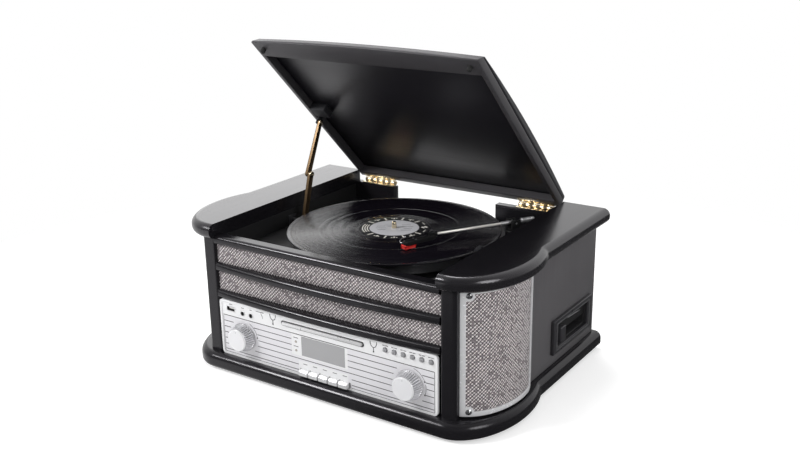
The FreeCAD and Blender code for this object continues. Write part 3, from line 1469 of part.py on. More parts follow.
def stay_link(name, length, x, rivet_side):
    """Return a stay's link along Y from its pivot, with an eye at the pivot and a rivet at the far end."""
    half = S["stay_width"] / 2
    thick = S["stay_thickness"]
    bar = box(f"{name}_bar", (thick, length, S["stay_width"]), (x, 0, -half), put=seat)
    ends = [rod(f"{name}_end_{number}", half, thick, (x, y, 0), "right", put=seat)
            for number, y in enumerate((0, length))]
    rivet_x = x + thick if rivet_side > 0 else x - S["stay_rivet_height"]
    rivet = rod(f"{name}_rivet", S["stay_rivet_radius"], S["stay_rivet_height"], (rivet_x, length, 0), "right", put=seat)
    eye = rod(f"{name}_eye", S["stay_pin_radius"] + S["fit"], thick, (x, 0, 0), "right", put=seat)
    return cut(name, fuse(f"{name}_solid", bar, *ends, rivet), eye)


def make_stay():
    """The two-link stay at the left: bracket on the inner wall, two links, and a block and tab in the lid."""
    lower_x = S["stay_in"] - bay_half
    foot_y = hinge_y - S["stay_ahead"]
    upper_x = lower_x - S["stay_thickness"] - S["gap"]
    pivot_z = deck_top + S["stay_above_deck"]
    wall_x = -bay_half
    plate_x = S["stay_plate"]
    bracket_size = (plate_x, S["stay_bracket_width"], S["stay_bracket_height"])
    bracket = box("bracket_plate", bracket_size,
                  (wall_x, foot_y - S["stay_bracket_width"] / 2, pivot_z - S["stay_bracket_height"] / 2))
    pin_length = lower_x + S["stay_thickness"] - wall_x + S["stay_plate"]
    pin = rod("bracket_pin", S["stay_pin_radius"], pin_length, (wall_x, foot_y, pivot_z), "right")
    collar_length = lower_x - wall_x - S["gap"]
    collar = rod("bracket_collar", S["stay_rivet_radius"], collar_length, (wall_x, foot_y, pivot_z), "right")
    node("stay_bracket", fuse("stay_bracket", bracket, pin, collar))
    lower = stay_link("stay_lower_link", S["stay_lower_length"], lower_x, 1)
    node("stay_lower_link", place(lower, 0, foot_y, pivot_z, AXIS_X, S["stay_lower_angle"]))

    along = -S["stay_lid_y"]
    below = lid_drop - S["stay_lid_drop"]
    pivot_y = hinge_y + along * cosine(S["lid_angle"]) + below * sine(S["lid_angle"])
    pivot_lid_z = hinge_z - along * sine(S["lid_angle"]) + below * cosine(S["lid_angle"])
    upper = stay_link("stay_upper_link", S["stay_upper_length"], upper_x, -1)
    node("stay_upper_link", place(upper, 0, pivot_y, pivot_lid_z, AXIS_X, 180 + S["stay_upper_angle"]))

    ceiling = lid_drop + S["lid_thickness"] - S["lid_panel_thickness"]
    recess_x = S["lid_border_side"] - lid_half
    block_size = (S["stay_block_width"], S["stay_block_length"], ceiling - lid_drop)
    block_rear = along - S["stay_width"] / 2
    block = box("stay_block_wood", block_size, (recess_x, block_rear - S["stay_block_length"], lid_drop), put=seat)
    tab_x = upper_x - S["gap"] - S["stay_tab"] - S["stay_rivet_height"]
    half = S["stay_width"] / 2
    tab_size = (S["stay_tab"], S["stay_width"], ceiling - below + half)
    tab = box("stay_tab", tab_size, (tab_x, block_rear, below - half), put=seat)
    tab_pin = rod("stay_tab_pin", S["stay_pin_radius"], upper_x + S["stay_thickness"] - tab_x, (tab_x, along, below),
                  "right", put=seat)
    node("stay_block", place_lid(fuse("stay_block", block, tab, tab_pin)))


def check_and_write():
    """Refuse a failed or empty sub-part, then write each one to its own file."""
    doc.recompute()
    for item in doc.Objects:
        if "Invalid" in item.State or "Error" in item.State:
            raise RuntimeError(f"{item.Label} failed: {item.State}")
    os.makedirs("parts", exist_ok=True)
    for part in nodes:
        shape = part.Shape
        if shape.isNull() or not shape.isValid() or not shape.Solids:
            raise RuntimeError(f"{part.Label} has no valid solid")
        shape.exportStep(f"parts/{part.Label}.step")
    print(f"{len(nodes)} sub-parts written")


make_plinth()
make_wings()
make_posts_and_panels()
make_rails()
make_speakers()
make_inner_frame()
make_deck()
make_platter()
make_belt_drive()
make_tonearm()
make_control_plate()
make_display_and_sockets()
make_controls()
make_disc_drive()
make_cassette()
make_electronics()
make_lid()
make_hinges()
make_stay()
check_and_write()
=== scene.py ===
"""Looks of a retro record player: lacquered cabinet, tweed speakers, radio front, turntable and open lid."""
import logging
import math
from dataclasses import dataclass
from enum import Enum
from typing import Callable, Sequence, Union

import bmesh
import bpy
from mathutils import Matrix, Vector


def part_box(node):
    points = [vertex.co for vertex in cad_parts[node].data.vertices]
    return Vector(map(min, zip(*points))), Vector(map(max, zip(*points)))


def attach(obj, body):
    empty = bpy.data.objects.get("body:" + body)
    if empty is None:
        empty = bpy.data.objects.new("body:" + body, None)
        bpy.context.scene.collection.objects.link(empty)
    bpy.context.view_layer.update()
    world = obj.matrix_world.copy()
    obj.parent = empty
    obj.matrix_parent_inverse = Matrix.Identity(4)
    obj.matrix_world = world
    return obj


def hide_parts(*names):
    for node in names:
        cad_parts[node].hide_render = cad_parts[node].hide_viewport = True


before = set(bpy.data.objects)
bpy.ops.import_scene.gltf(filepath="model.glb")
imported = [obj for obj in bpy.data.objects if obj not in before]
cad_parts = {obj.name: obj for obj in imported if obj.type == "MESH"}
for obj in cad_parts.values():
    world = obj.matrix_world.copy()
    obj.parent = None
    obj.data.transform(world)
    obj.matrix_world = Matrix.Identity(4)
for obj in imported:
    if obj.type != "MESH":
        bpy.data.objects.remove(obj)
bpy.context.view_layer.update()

LOG = logging.getLogger("record_player")
MM = 0.001
# The y of the cabinet's front plane, in millimetres: depths are counted from it.
FRONT_Y = -166.447
# Lays an outline on its side: its X runs to the rear, its Y up, and its depth to the right.
LAID = Matrix(((0, 0, 1, 0), (1, 0, 0, 0), (0, 1, 0, 0), (0, 0, 0, 1)))

Colour = tuple[float, float, float]
Point = Sequence[float]
Profile = Sequence[Sequence[float]]
Outline = list[tuple[float, float]]


class Grain(Enum):
    """The way the grain of a board runs."""

    ACROSS = (1.0, 0.0, 0.0)
    DEEP = (0.0, 1.0, 0.0)
    UPRIGHT = (0.0, 0.0, 1.0)


class Turn(Enum):
    """The way a turned piece stands: its axis in the part's frame."""

    UP = Matrix.Identity(4)
    DOWN = Matrix.Rotation(math.pi, 4, "X")
    FRONT = Matrix.Rotation(math.pi / 2, 4, "X")
    REAR = Matrix.Rotation(-math.pi / 2, 4, "X")
    RIGHT = Matrix.Rotation(math.pi / 2, 4, "Y")
    LEFT = Matrix.Rotation(-math.pi / 2, 4, "Y")


def spot(x: float, y: float, z: float, turn: Turn = Turn.UP) -> Matrix:
    """Return a place in the part's frame.

    Args:
        x, y, z: millimetres, with y counted from the middle of the part.
        turn: the way the piece's own Z axis points.

    Returns:
        The matrix that takes millimetres at the piece to metres in the part's frame.
    """
    return Matrix.Translation(Vector((x, y, z)) * MM) @ turn.value @ Matrix.Scale(MM, 4)


def moved(x: float, y: float, z: float) -> Matrix:
    """Return a move in the piece's own measure."""
    return Matrix.Translation(Vector((x, y, z)))


def spin(degrees: float, axis: str = "Z") -> Matrix:
    """Return a turn about one axis."""
    return Matrix.Rotation(math.radians(degrees), 4, axis)


def round_turns(count: int) -> list[float]:
    """Return as many angles, spread evenly round a circle."""
    return [2 * math.pi * number / count for number in range(count)]


class Value:
    """A socket of a shader tree, with operators that add Math nodes."""

    def __init__(self, tree: "Shade", socket: bpy.types.NodeSocket) -> None:
        """Wrap one output socket of a tree."""
        self.tree = tree
        self.socket = socket

    def __add__(self, other: "Number") -> "Value":
        """Return the sum with another value."""
        return self.tree.math("ADD", self, other)

    def __radd__(self, other: "Number") -> "Value":
        """Return the sum with a number before it."""
        return self.tree.math("ADD", other, self)

    def __sub__(self, other: "Number") -> "Value":
        """Return the difference from another value."""
        return self.tree.math("SUBTRACT", self, other)

    def __rsub__(self, other: "Number") -> "Value":
        """Return a number less this value."""
        return self.tree.math("SUBTRACT", other, self)

    def __mul__(self, other: "Number") -> "Value":
        """Return the product with another value."""
        return self.tree.math("MULTIPLY", self, other)

    def __rmul__(self, other: "Number") -> "Value":
        """Return the product with a number before it."""
        return self.tree.math("MULTIPLY", other, self)

    def __gt__(self, other: "Number") -> "Value":
        """Return 1 where this value is greater, else 0."""
        return self.tree.math("GREATER_THAN", self, other)

    def __lt__(self, other: "Number") -> "Value":
        """Return 1 where this value is less, else 0."""
        return self.tree.math("LESS_THAN", self, other)


Number = Union[float, Value]


class Shade:
    """A material's tree, or the world's, while it is built."""

    def __init__(self, name: str, world: bool = False) -> None:
        """Start an empty tree.

        Args:
            name: the material's name.
            world: whether it is the world and not a material.
        """
        self.material = (bpy.data.worlds if world else bpy.data.materials).new(name)
        self.material.use_nodes = True
        self.tree = self.material.node_tree
        self.tree.nodes.clear()

    def add(self, kind: str, settings: dict | None = None, sockets: dict | None = None) -> bpy.types.Node:
        """Add one node.

        Args:
            kind: the node's type.
            settings: its own options, which are set first; "stops" fills a ramp.
            sockets: values or links of its inputs, by name or number.

        Returns:
            The node.
        """
        node = self.tree.nodes.new(kind)
        for key, value in (settings or {}).items():
            if key == "stops":
                self.fill_ramp(node.color_ramp, value)
            else:
                setattr(node, key, value)
        for key, value in (sockets or {}).items():
            self.feed(node.inputs[key], value)
        return node

    @staticmethod
    def fill_ramp(ramp: bpy.types.ColorRamp, stops: Sequence[tuple[float, float]]) -> None:
        """Give a ramp its two grey stops.

        Args:
            ramp: a ramp with its two first stops.
            stops: position and grey level of each stop.
        """
        for element, (position, grey) in zip(ramp.elements, stops):
            element.position = position
            element.color = (grey, grey, grey, 1.0)

    def feed(self, socket: bpy.types.NodeSocket, value: object) -> None:
        """Set an input to a number or colour, or link a value to it.

        Args:
            socket: the input.
            value: a number, a tuple or a Value.
        """
        if isinstance(value, Value):
            self.tree.links.new(value.socket, socket)
        elif isinstance(value, tuple) and socket.type == "RGBA":
            socket.default_value = (*value[:3], 1.0)
        else:
            socket.default_value = value

    def value(self, kind: str, settings: dict | None = None, sockets: dict | None = None,
              output: Union[int, str] = 0) -> Value:
        """Add one node and return one of its outputs.

        Args:
            kind, settings, sockets: as for add.
            output: which of the node's outputs.

        Returns:
            The output as a Value.
        """
        return Value(self, self.add(kind, settings, sockets).outputs[output])

    def math(self, operation: str, first: Number, second: Number = 0.0) -> Value:
        """Return one Math node's result."""
        return self.value("ShaderNodeMath", {"operation": operation}, {0: first, 1: second})

    def vector(self, operation: str, first: Value, second: Point) -> Value:
        """Return one Vector Math node's result."""
        return self.value("ShaderNodeVectorMath", {"operation": operation}, {0: first, 1: second})

    def length(self, vector: Value) -> Value:
        """Return a vector's length."""
        return self.value("ShaderNodeVectorMath", {"operation": "LENGTH"}, {0: vector}, "Value")

    def toward(self, vector: Value, way: Point) -> Value:
        """Return how far a vector points along a way."""
        return self.value("ShaderNodeVectorMath", {"operation": "DOT_PRODUCT"}, {0: vector, 1: way}, "Value")

    def part(self, vector: Value, axis: int) -> Value:
        """Return one coordinate of a vector."""
        return self.value("ShaderNodeSeparateXYZ", None, {0: vector}, axis)

    def mix(self, share: Number, first: object, second: object) -> Value:
        """Return a blend of two colours."""
        return self.value("ShaderNodeMix", {"data_type": "RGBA"}, {0: share, 6: first, 7: second}, 2)

    def ramp(self, value: Value, *stops: tuple[float, float]) -> Value:
        """Return a value passed through two stops, each a position and a level."""
        return self.value("ShaderNodeValToRGB", {"stops": stops}, {0: value})

    def place(self) -> Value:
        """Return the place on the piece, in metres of the part's frame."""
        return self.value("ShaderNodeTexCoord", None, None, "Object")

    def ray(self, kind: str) -> Value:
        """Return 1 for one kind of ray, else 0."""
        return self.value("ShaderNodeLightPath", None, None, f"Is {kind} Ray")

    def seen(self) -> Value:
        """Return 1 for what the camera sees, straight, mirrored or through glass, and 0 for what only lights."""
        near = self.math("MAXIMUM", self.ray("Camera"), self.ray("Glossy"))
        return self.math("MAXIMUM", near, self.ray("Transmission"))

    def glow(self, strength: float) -> Value:
        """Return plain white light of one strength."""
        return self.value("ShaderNodeEmission", None, {"Strength": strength})

    def blend(self, share: Value, first: Value, second: Value) -> Value:
        """Return a mix of two shaders."""
        return self.value("ShaderNodeMixShader", None, {0: share, 1: first, 2: second})

    def noise(self, vector: Value, scale: float, detail: float = 3.0, rough: float = 0.5) -> Value:
        """Return a cloudy value about one half."""
        sockets = {"Vector": vector, "Scale": scale, "Detail": detail, "Roughness": rough}
        return self.value("ShaderNodeTexNoise", None, sockets)

    def bump(self, height: Value, depth: float) -> Value:
        """Return the normal of a surface that is raised by a value times a depth in metres."""
        return self.value("ShaderNodeBump", None, {"Height": height, "Distance": depth, "Strength": 1.0})

    def surface(self, **sockets: object) -> bpy.types.Material:
        """Close the material with one Principled shader.

        Args:
            sockets: its inputs, with underscores for the spaces in their names.

        Returns:
            The finished material.
        """
        named = {key.replace("_", " "): value for key, value in sockets.items()}
        shader = self.value("ShaderNodeBsdfPrincipled", None, named)
        self.add("ShaderNodeOutputMaterial", None, {0: shader})
        return self.material


def swing(value: Value, amount: float) -> Value:
    """Return a cloudy value's departure from one half, times an amount."""
    return (value - 0.5) * amount


def darker(tint: Colour, share: float) -> Colour:
    """Return a colour at a share of its strength."""
    return tuple(channel * share for channel in tint)


@dataclass(frozen=True)
class Finish:
    """A finish that is made into a material once."""

    name: str
    slot: str

    def shade(self) -> bpy.types.Material:
        """Return the new material."""
        raise NotImplementedError

    def material(self) -> bpy.types.Material:
        """Return the finish's material, made when it is first asked for."""
        found = bpy.data.materials.get(self.name)
        return found or self.shade()


@dataclass(frozen=True)
class Lacquer(Finish):
    """Black lacquer over wood, with fine grain and pores along one direction."""

    grain: Grain = Grain.ACROSS
    tint: Colour = (0.0062, 0.0057, 0.0073)
    light: Colour = (0.0115, 0.0108, 0.0127)
    rough: float = 0.2
    relief: float = 0.000016
    level: float = 0.42
    sheen_tint: Colour = (0.98, 0.96, 1.0)
    fibre_scale: tuple[float, float] = (420.0, 9.0)
    pore_scale: tuple[float, float] = (1500.0, 40.0)
    cloud_scale: float = 7.0

    def stretched(self, scale: tuple[float, float]) -> Vector:
        """Return a texture's scale from its measures across and along the grain."""
        along = Vector(self.grain.value)
        return (Vector((1.0, 1.0, 1.0)) - along) * scale[0] + along * scale[1]

    def shade(self) -> bpy.types.Material:
        """Make lacquer whose colour, gloss and surface follow the grain.

        Returns:
            The material.
        """
        shade = Shade(self.name)
        place = shade.place()
        fibres = shade.noise(shade.vector("MULTIPLY", place, self.stretched(self.fibre_scale)), 1.0, 4.0, 0.65)
        pores = shade.noise(shade.vector("MULTIPLY", place, self.stretched(self.pore_scale)), 1.0, 2.0)
        clouds = shade.noise(place, self.cloud_scale, 2.0)
        pore = shade.ramp(pores, (0.52, 0.0), (0.72, 1.0))
        return shade.surface(
            Base_Color=shade.mix(fibres * 0.7 + clouds * 0.5 - 0.1, self.tint, self.light),
            Roughness=self.rough + swing(fibres, 0.16) + swing(clouds, 0.1),
            Specular_IOR_Level=self.level,
            Specular_Tint=self.sheen_tint,
            Normal=shade.bump(fibres * 0.8 - pore * 0.9, self.relief),
        )


@dataclass(frozen=True)
class Tweed(Finish):
    """Speaker cloth: a grey ground with short pale and dark stitches that lean to opposite sides."""

    dark: Colour = (0.012, 0.01, 0.012)
    low: Colour = (0.15, 0.13, 0.138)
    high: Colour = (0.29, 0.26, 0.267)
    pale: Colour = (0.98, 0.94, 0.93)
    pitch: float = 0.0024
    stitch_half: float = 0.26
    stitch_reach: float = 0.68
    wander: float = 0.8
    wander_scale: float = 0.8
    wander_apart: Colour = (31.0, 17.0, 5.0)
    missed: float = 0.14
    rough: float = 0.82
    relief: float = 0.0003

    def stitch(self, shade: Shade, x: Value, y: Value, hand: float) -> Value:
        """Return 1 on a slanted stitch in the middle of a weave's square.

        Args:
            shade: the tree.
            x, y: the place in the square, from its middle.
            hand: 1 or -1 for the way it leans.

        Returns:
            1 on the stitch, else 0.
        """
        across = shade.math("ABSOLUTE", x - y * hand)
        along = shade.math("ABSOLUTE", x + y * hand)
        return (across < self.stitch_half) * (along < self.stitch_reach)

    def shade(self) -> bpy.types.Material:
        """Make cloth whose stitches follow the weave's own coordinates.

        Returns:
            The material.
        """
        shade = Shade(self.name)
        weave = shade.value("ShaderNodeUVMap", {"uv_map": "weave"})
        scaled = shade.vector("MULTIPLY", weave, (1 / self.pitch,) * 3)
        apart = shade.vector("ADD", scaled, self.wander_apart)
        u = shade.part(scaled, 0) + shade.noise(scaled, self.wander_scale) * self.wander
        v = shade.part(scaled, 1) + shade.noise(apart, self.wander_scale) * self.wander
        column, row = shade.math("FLOOR", u), shade.math("FLOOR", v)
        x, y = u - column - 0.5, v - row - 0.5
        odd = shade.math("FRACT", (column + row) * 0.5) > 0.25
        square = shade.value("ShaderNodeCombineXYZ", None, {0: column, 1: row})
        level = shade.value("ShaderNodeTexWhiteNoise", {"noise_dimensions": "2D"}, {"Vector": square})
        kept = level > self.missed
        lit = self.stitch(shade, x, y, 1.0) * (1 - odd) * kept
        deep = self.stitch(shade, x, y, -1.0) * odd * kept
        fuzz = shade.noise(scaled, 2.6, 3.0, 0.7)
        ground = shade.mix(fuzz * 0.6 + level * 0.4, self.low, self.high)
        return shade.surface(
            Base_Color=shade.mix(lit, shade.mix(deep, ground, self.dark), self.pale),
            Roughness=self.rough + swing(fuzz, 0.2),
            Specular_IOR_Level=0.25,
            Sheen_Weight=0.1,
            Normal=shade.bump(lit * 0.6 - deep * 0.5 + fuzz * 0.4, self.relief),
        )


@dataclass(frozen=True)
class Metal(Finish):
    """Plain metal or silver paint, with fine wear in its gloss and a brushed direction where it has one."""

    tint: Colour = (0.7, 0.7, 0.71)
    rough: float = 0.25
    metallic: float = 1.0
    brush: tuple[float, float, float] = (260.0, 260.0, 260.0)
    relief: float = 0.000008
    haze_scale: float = 24.0
    worn: float = 0.86

    def shade(self) -> bpy.types.Material:
        """Make metal whose gloss varies along its brush marks.

        Returns:
            The material.
        """
        shade = Shade(self.name)
        place = shade.place()
        marks = shade.noise(shade.vector("MULTIPLY", place, self.brush), 1.0, 3.0, 0.6)
        haze = shade.noise(place, self.haze_scale, 2.0)
        return shade.surface(
            Base_Color=shade.mix(marks * 0.6 + haze * 0.4, darker(self.tint, self.worn), self.tint),
            Roughness=self.rough + swing(marks, 0.14) + swing(haze, 0.08),
            Metallic=self.metallic,
            Normal=shade.bump(marks, self.relief),
        )


@dataclass(frozen=True)
class Moulded(Finish):
    """Moulded plastic, rubber, paint or card, with a fine speckled skin."""

    tint: Colour = (0.016, 0.016, 0.018)
    rough: float = 0.45
    speckle: float = 1800.0
    relief: float = 0.00002
    level: float = 0.5
    cloud_scale: float = 30.0
    worn: float = 0.8

    def shade(self) -> bpy.types.Material:
        """Make a skin with slight changes of tone and gloss.

        Returns:
            The material.
        """
        shade = Shade(self.name)
        place = shade.place()
        skin = shade.noise(place, self.speckle, 2.0)
        clouds = shade.noise(place, self.cloud_scale)
        return shade.surface(
            Base_Color=shade.mix(clouds * 0.7 + skin * 0.3, darker(self.tint, self.worn), self.tint),
            Roughness=self.rough + swing(clouds, 0.16),
            Specular_IOR_Level=self.level,
            Normal=shade.bump(skin, self.relief),
        )


@dataclass(frozen=True)
class Spun(Finish):
    """A turned or pressed face: fine rings about an axis through one point along Y or Z."""

    centre: tuple[float, float, float] = (0.0, 0.0, 0.0)
    flat: tuple[float, float, float] = (1.0, 1.0, 0.0)
    tint: Colour = (0.8, 0.8, 0.81)
    rough: float = 0.28
    metallic: float = 0.85
    relief: float = 0.00001
    ring_scale: float = 2600.0
    worn: float = 0.88

    def shade(self) -> bpy.types.Material:
        """Make a skin with rings in its tone, gloss and surface.

        Returns:
            The material.
        """
        shade = Shade(self.name)
        offset = shade.vector("SUBTRACT", shade.place(), self.centre)
        radius = shade.length(shade.vector("MULTIPLY", offset, self.flat))
        line = shade.value("ShaderNodeCombineXYZ", None, {0: radius})
        rings = shade.noise(line, self.ring_scale, 3.0, 0.6)
        return shade.surface(
            Base_Color=shade.mix(rings, darker(self.tint, self.worn), self.tint),
            Roughness=self.rough + swing(rings, 0.18),
            Metallic=self.metallic,
            Normal=shade.bump(rings, self.relief),
        )


class Finishes:
    """The finishes of this player, by their plain names."""

    WOOD_ACROSS = Lacquer("black_lacquer_across", "black_wood", Grain.ACROSS)
    WOOD_DEEP = Lacquer("black_lacquer_deep", "black_wood", Grain.DEEP, level=0.78)
    WOOD_UPRIGHT = Lacquer("black_lacquer_upright", "black_wood", Grain.UPRIGHT)
    WOOD_SIDE = Lacquer("black_lacquer_side", "black_wood", Grain.UPRIGHT,
                        (0.058, 0.0557, 0.0592), (0.125, 0.1208, 0.1262), 0.4)
    # Satin lacquer of the lid frame, a lighter grey than the black lacquer as painted sheen for the light its bars
    # reflect.
    WOOD_LID_SHEEN = Lacquer("black_lacquer_satin_painted_sheen", "black_wood", Grain.ACROSS,
                       (0.03, 0.0285, 0.0315), (0.06, 0.0572, 0.062), 0.44)
    WOOD_CEILING = Lacquer("black_lacquer_gloss", "black_wood", Grain.ACROSS,
                           (0.009, 0.0083, 0.0112), (0.016, 0.0149, 0.0187), 0.34, level=0.4)
    WELL_PAINT = Moulded("well_paint", "raw_board", (0.013, 0.013, 0.014), 0.5, 900.0)
    TWEED = Tweed("grey_tweed", "tweed_cloth")
    SILVER_FRAME = Metal("pale_silver_frame", "white_metal", (0.82, 0.82, 0.84), 0.25, 0.25, relief=0.000004)
    PLATE = Metal("white_silver_plate", "silver_plate", (0.86, 0.86, 0.87), 0.4, 0.06,
                  (30.0, 30.0, 2400.0), 0.000003)
    FIELD = Metal("brushed_silver_field", "silver_plate", (0.8, 0.79, 0.82), 0.34, 0.08, (24.0, 24.0, 2600.0))
    # Engraved lines and print on the plate, and also the painted shade at the field's edges and round the tray.
    PLATE_LINE_AND_SHADE = Moulded("engraved_line_and_painted_shade", "silver_plate", (0.03, 0.03, 0.034), 0.5, 1200.0)
    SILVER_KEY = Metal("silver_key", "silver_plastic", (0.8, 0.8, 0.81), 0.3, 0.5)
    BUTTON = Metal("button_cap", "silver_plastic", (0.5, 0.5, 0.52), 0.3, 0.6)
    ARM_SILVER = Metal("arm_silver", "steel", (0.95, 0.92, 0.88), 0.2, 0.4)
    STUB_GREY = Metal("stub_grey", "steel", (0.42, 0.42, 0.43), 0.34, 0.6)
    STEEL = Metal("bright_steel", "steel", (0.72, 0.72, 0.74), 0.16)
    DARK_STEEL = Metal("grey_steel", "steel", (0.3, 0.3, 0.31), 0.34)
    BRASS = Metal("polished_brass", "brass", (0.78, 0.67, 0.48), 0.2)
    BRONZE = Metal("dark_bronze", "bronze", (0.13, 0.085, 0.045), 0.36, 0.85)
    KNOB_SIDE = Metal("knob_side", "silver_plastic", (0.76, 0.76, 0.78), 0.18, 0.6)
    BLACK_PLASTIC = Moulded("black_plastic", "black_plastic")
    ARM_BLACK = Moulded("arm_black", "black_plastic", (0.007, 0.007, 0.008), 0.5, 1400.0, 0.00003, 0.3)
    DECK_BLACK = Moulded("deck_black", "black_plastic", (0.012, 0.012, 0.013), 0.42, 1100.0, 0.00003)
    # Dark plastic of the sockets; also used for the painted shade in the gaps beside the keys.
    SOCKET_DARK_AND_GAP_SHADE = Moulded("socket_dark_and_gap_shade", "black_plastic", (0.006, 0.006, 0.007), 0.6)
    GREY_PLASTIC = Moulded("grey_plastic", "black_plastic", (0.1, 0.1, 0.105), 0.4)
    BEZEL = Moulded("bezel_black", "black_plastic", (0.03, 0.029, 0.033), 0.3, 1200.0, 0.00001, 0.6)
    RUBBER = Moulded("black_rubber", "black_rubber", (0.014, 0.014, 0.015), 0.75, 700.0)
    VINYL = Spun("black_vinyl", "black_gloss_plastic", (0.002, 0.00205, 0.0), tint=(0.006, 0.005, 0.008),
                 rough=0.2, metallic=0.0, relief=0.0003)
    LABEL_SILVER = Moulded("label_silver", "black_gloss_plastic", (0.66, 0.66, 0.69), 0.5, 700.0)
    LABEL_BLACK = Moulded("label_black", "black_gloss_plastic", (0.012, 0.012, 0.014), 0.45, 700.0)
    LABEL_CREAM = Moulded("label_cream", "black_gloss_plastic", (0.95, 0.92, 0.85), 0.5, 700.0)
    RED = Moulded("red_plastic", "red_plastic", (0.62, 0.022, 0.022), 0.28, 600.0)
    DISPLAY = Moulded("grey_display", "grey_display", (0.62, 0.6, 0.64), 0.22, 200.0, 0.000002)
    AMBER = Moulded("lamp_lens", "grey_display", (0.5, 0.47, 0.42), 0.18, 300.0)
    CIRCUIT = Moulded("green_board", "circuit", (0.03, 0.18, 0.07), 0.5, 500.0)
    SOCKET_RED = Moulded("socket_red", "black_plastic", (0.5, 0.03, 0.03), 0.4)
    SOCKET_WHITE = Moulded("socket_white", "black_plastic", (0.75, 0.75, 0.74), 0.4)


class Maker:
    """Gathers the faces of one piece, in millimetres, and makes an object of them in metres."""

    # Of a screw head, as shares of its radius, apart from the dome's power, the skirt and the counts.
    CROSS_HALF, CROSS_REACH, CROSS_DEPTH = 0.14, 0.62, 0.3
    DOME, DOME_POWER, SKIRT = 0.42, 2.4, 0.3
    SCREW_RINGS, SCREW_SIDES = 9, 48
    # Of a copied CAD node, in degrees: faces flatter than the first are joined, edges sharper than the second eased.
    FLAT_ANGLE, SHARP_ANGLE = 0.5, 32.0
    NODE_WELD, SCREW_WELD = 1e-6, 1e-7

    def __init__(self) -> None:
        """Start with no faces."""
        self.bm = bmesh.new()

    def point(self, at: Matrix, x: float, y: float, z: float) -> bmesh.types.BMVert:
        """Add one point at a place."""
        return self.bm.verts.new(at @ Vector((x, y, z)))

    def band(self, low: list, high: list, closed: bool = True) -> None:
        """Join two rings or rows of points with faces.

        Args:
            low, high: the rows, either of which may be a single point.
            closed: whether the last point joins the first.
        """
        count = max(len(low), len(high))
        for number in range(count if closed else count - 1):
            after = (number + 1) % count
            corners = [low[number % len(low)], low[after % len(low)],
                       high[after % len(high)], high[number % len(high)]]
            face = list(dict.fromkeys(corners))
            if len(face) > 2:
                self.bm.faces.new(face)

    def bands(self, rows: list[list], closed: bool = True) -> "Maker":
        """Join each row of points to the next.

        Args:
            rows: the rows, in order.
            closed: whether each row is a ring.

        Returns:
            This maker.
        """
        for low, high in zip(rows, rows[1:]):
            self.band(low, high, closed)
        return self

    def round_off(self, edges: list, radius: float, steps: int) -> None:
        """Round some edges by a radius in millimetres."""
        bmesh.ops.bevel(self.bm, geom=edges, offset=radius * MM, segments=steps, profile=0.5, affect="EDGES",
                        clamp_overlap=True)

    def turned(self, profile: Profile, at: Matrix, segments: int = 64, flutes: int = 0) -> "Maker":
        """Add a piece turned about its own Z axis.

        Args:
            profile: radius and height of each ring, and a flute depth as third number where it is fluted.
            at: the piece's place.
            segments: sides of each ring.
            flutes: how many flutes run round it.

        Returns:
            This maker.
        """
        rings = []
        for radius, height, *depth in profile:
            if radius <= 0:
                rings.append([self.point(at, 0, 0, height)])
                continue
            ring = []
            for angle in round_turns(segments):
                dip = depth[0] * (0.5 - 0.5 * math.cos(flutes * angle)) ** 2 if depth else 0.0
                reach = radius - dip
                ring.append(self.point(at, reach * math.cos(angle), reach * math.sin(angle), height))
            rings.append(ring)
        return self.bands(rings)

    def block(self, size: Point, at: Matrix, ease: float, steps: int = 3, taper: Point = (1.0, 1.0)) -> "Maker":
        """Add a block with rounded edges, centred on its place.

        Args:
            size: width, depth and height.
            at: its place.
            ease: the radius of its edges.
            steps: faces across each rounded edge.
            taper: how far its top's width and depth are drawn in.

        Returns:
            This maker.
        """
        shape = at @ Matrix.Diagonal((*size, 1.0))
        made = bmesh.ops.create_cube(self.bm, size=1.0)["verts"]
        for vert in made:
            if vert.co.z > 0:
                vert.co.x *= taper[0]
                vert.co.y *= taper[1]
            vert.co = shape @ vert.co
        self.round_off(list(dict.fromkeys(edge for vert in made for edge in vert.link_edges)), ease, steps)
        return self

    def prism(self, outline: Sequence[Point], depth: float, at: Matrix, ease: float = 0.0, steps: int = 2) -> "Maker":
        """Add an outline raised along its own Z axis.

        Args:
            outline: its corners, anticlockwise.
            depth: how far it is raised.
            at: its place.
            ease: the radius of its edges.
            steps: faces across each rounded edge.

        Returns:
            This maker.
        """
        low = [self.point(at, x, y, 0) for x, y in outline]
        high = [self.point(at, x, y, depth) for x, y in outline]
        self.bm.faces.new(low[::-1])
        self.bm.faces.new(high)
        self.band(low, high)
        if ease:
            edges = dict.fromkeys(edge for vert in low + high for edge in vert.link_edges)
            rim = [edge for edge in edges if (edge.verts[0] in low) == (edge.verts[1] in low)]
            self.round_off(rim, ease, steps)
        return self

    def ringed(self, outer: Sequence[Point], inner: Sequence[Point], depth: float, at: Matrix) -> "Maker":
        """Add a raised border between two outlines with as many corners.

        Args:
            outer, inner: the outlines.
            depth: how far it is raised.
            at: its place.

        Returns:
            This maker.
        """
        levels = ((outer, 0), (outer, depth), (inner, depth), (inner, 0))
        loops = [[self.point(at, x, y, height) for x, y in outline] for outline, height in levels]
        return self.bands(loops + loops[:1])

    def tube(self, points: Sequence[Point], radius: float, at: Matrix, sides: int = 16) -> "Maker":
        """Add a round bar along some points.

        Args:
            points: its middle line.
            radius: its radius.
            at: its place.
            sides: faces round the bar.

        Returns:
            This maker.
        """
        line = [Vector(point) for point in points]
        ahead = Vector((0, 0, 1))
        rings = [[self.point(at, *line[0])]]
        for number, point in enumerate(line):
            way = (line[min(number + 1, len(line) - 1)] - line[max(number - 1, 0)]).normalized()
            side = way.cross(ahead if abs(way.dot(ahead)) < 0.9 else Vector((1, 0, 0))).normalized()
            lift = side.cross(way)
            rings.append([self.point(at, *(point + (side * math.cos(angle) + lift * math.sin(angle)) * radius))
                          for angle in round_turns(sides)])
        rings.append([self.point(at, *line[-1])])
        return self.bands(rings)

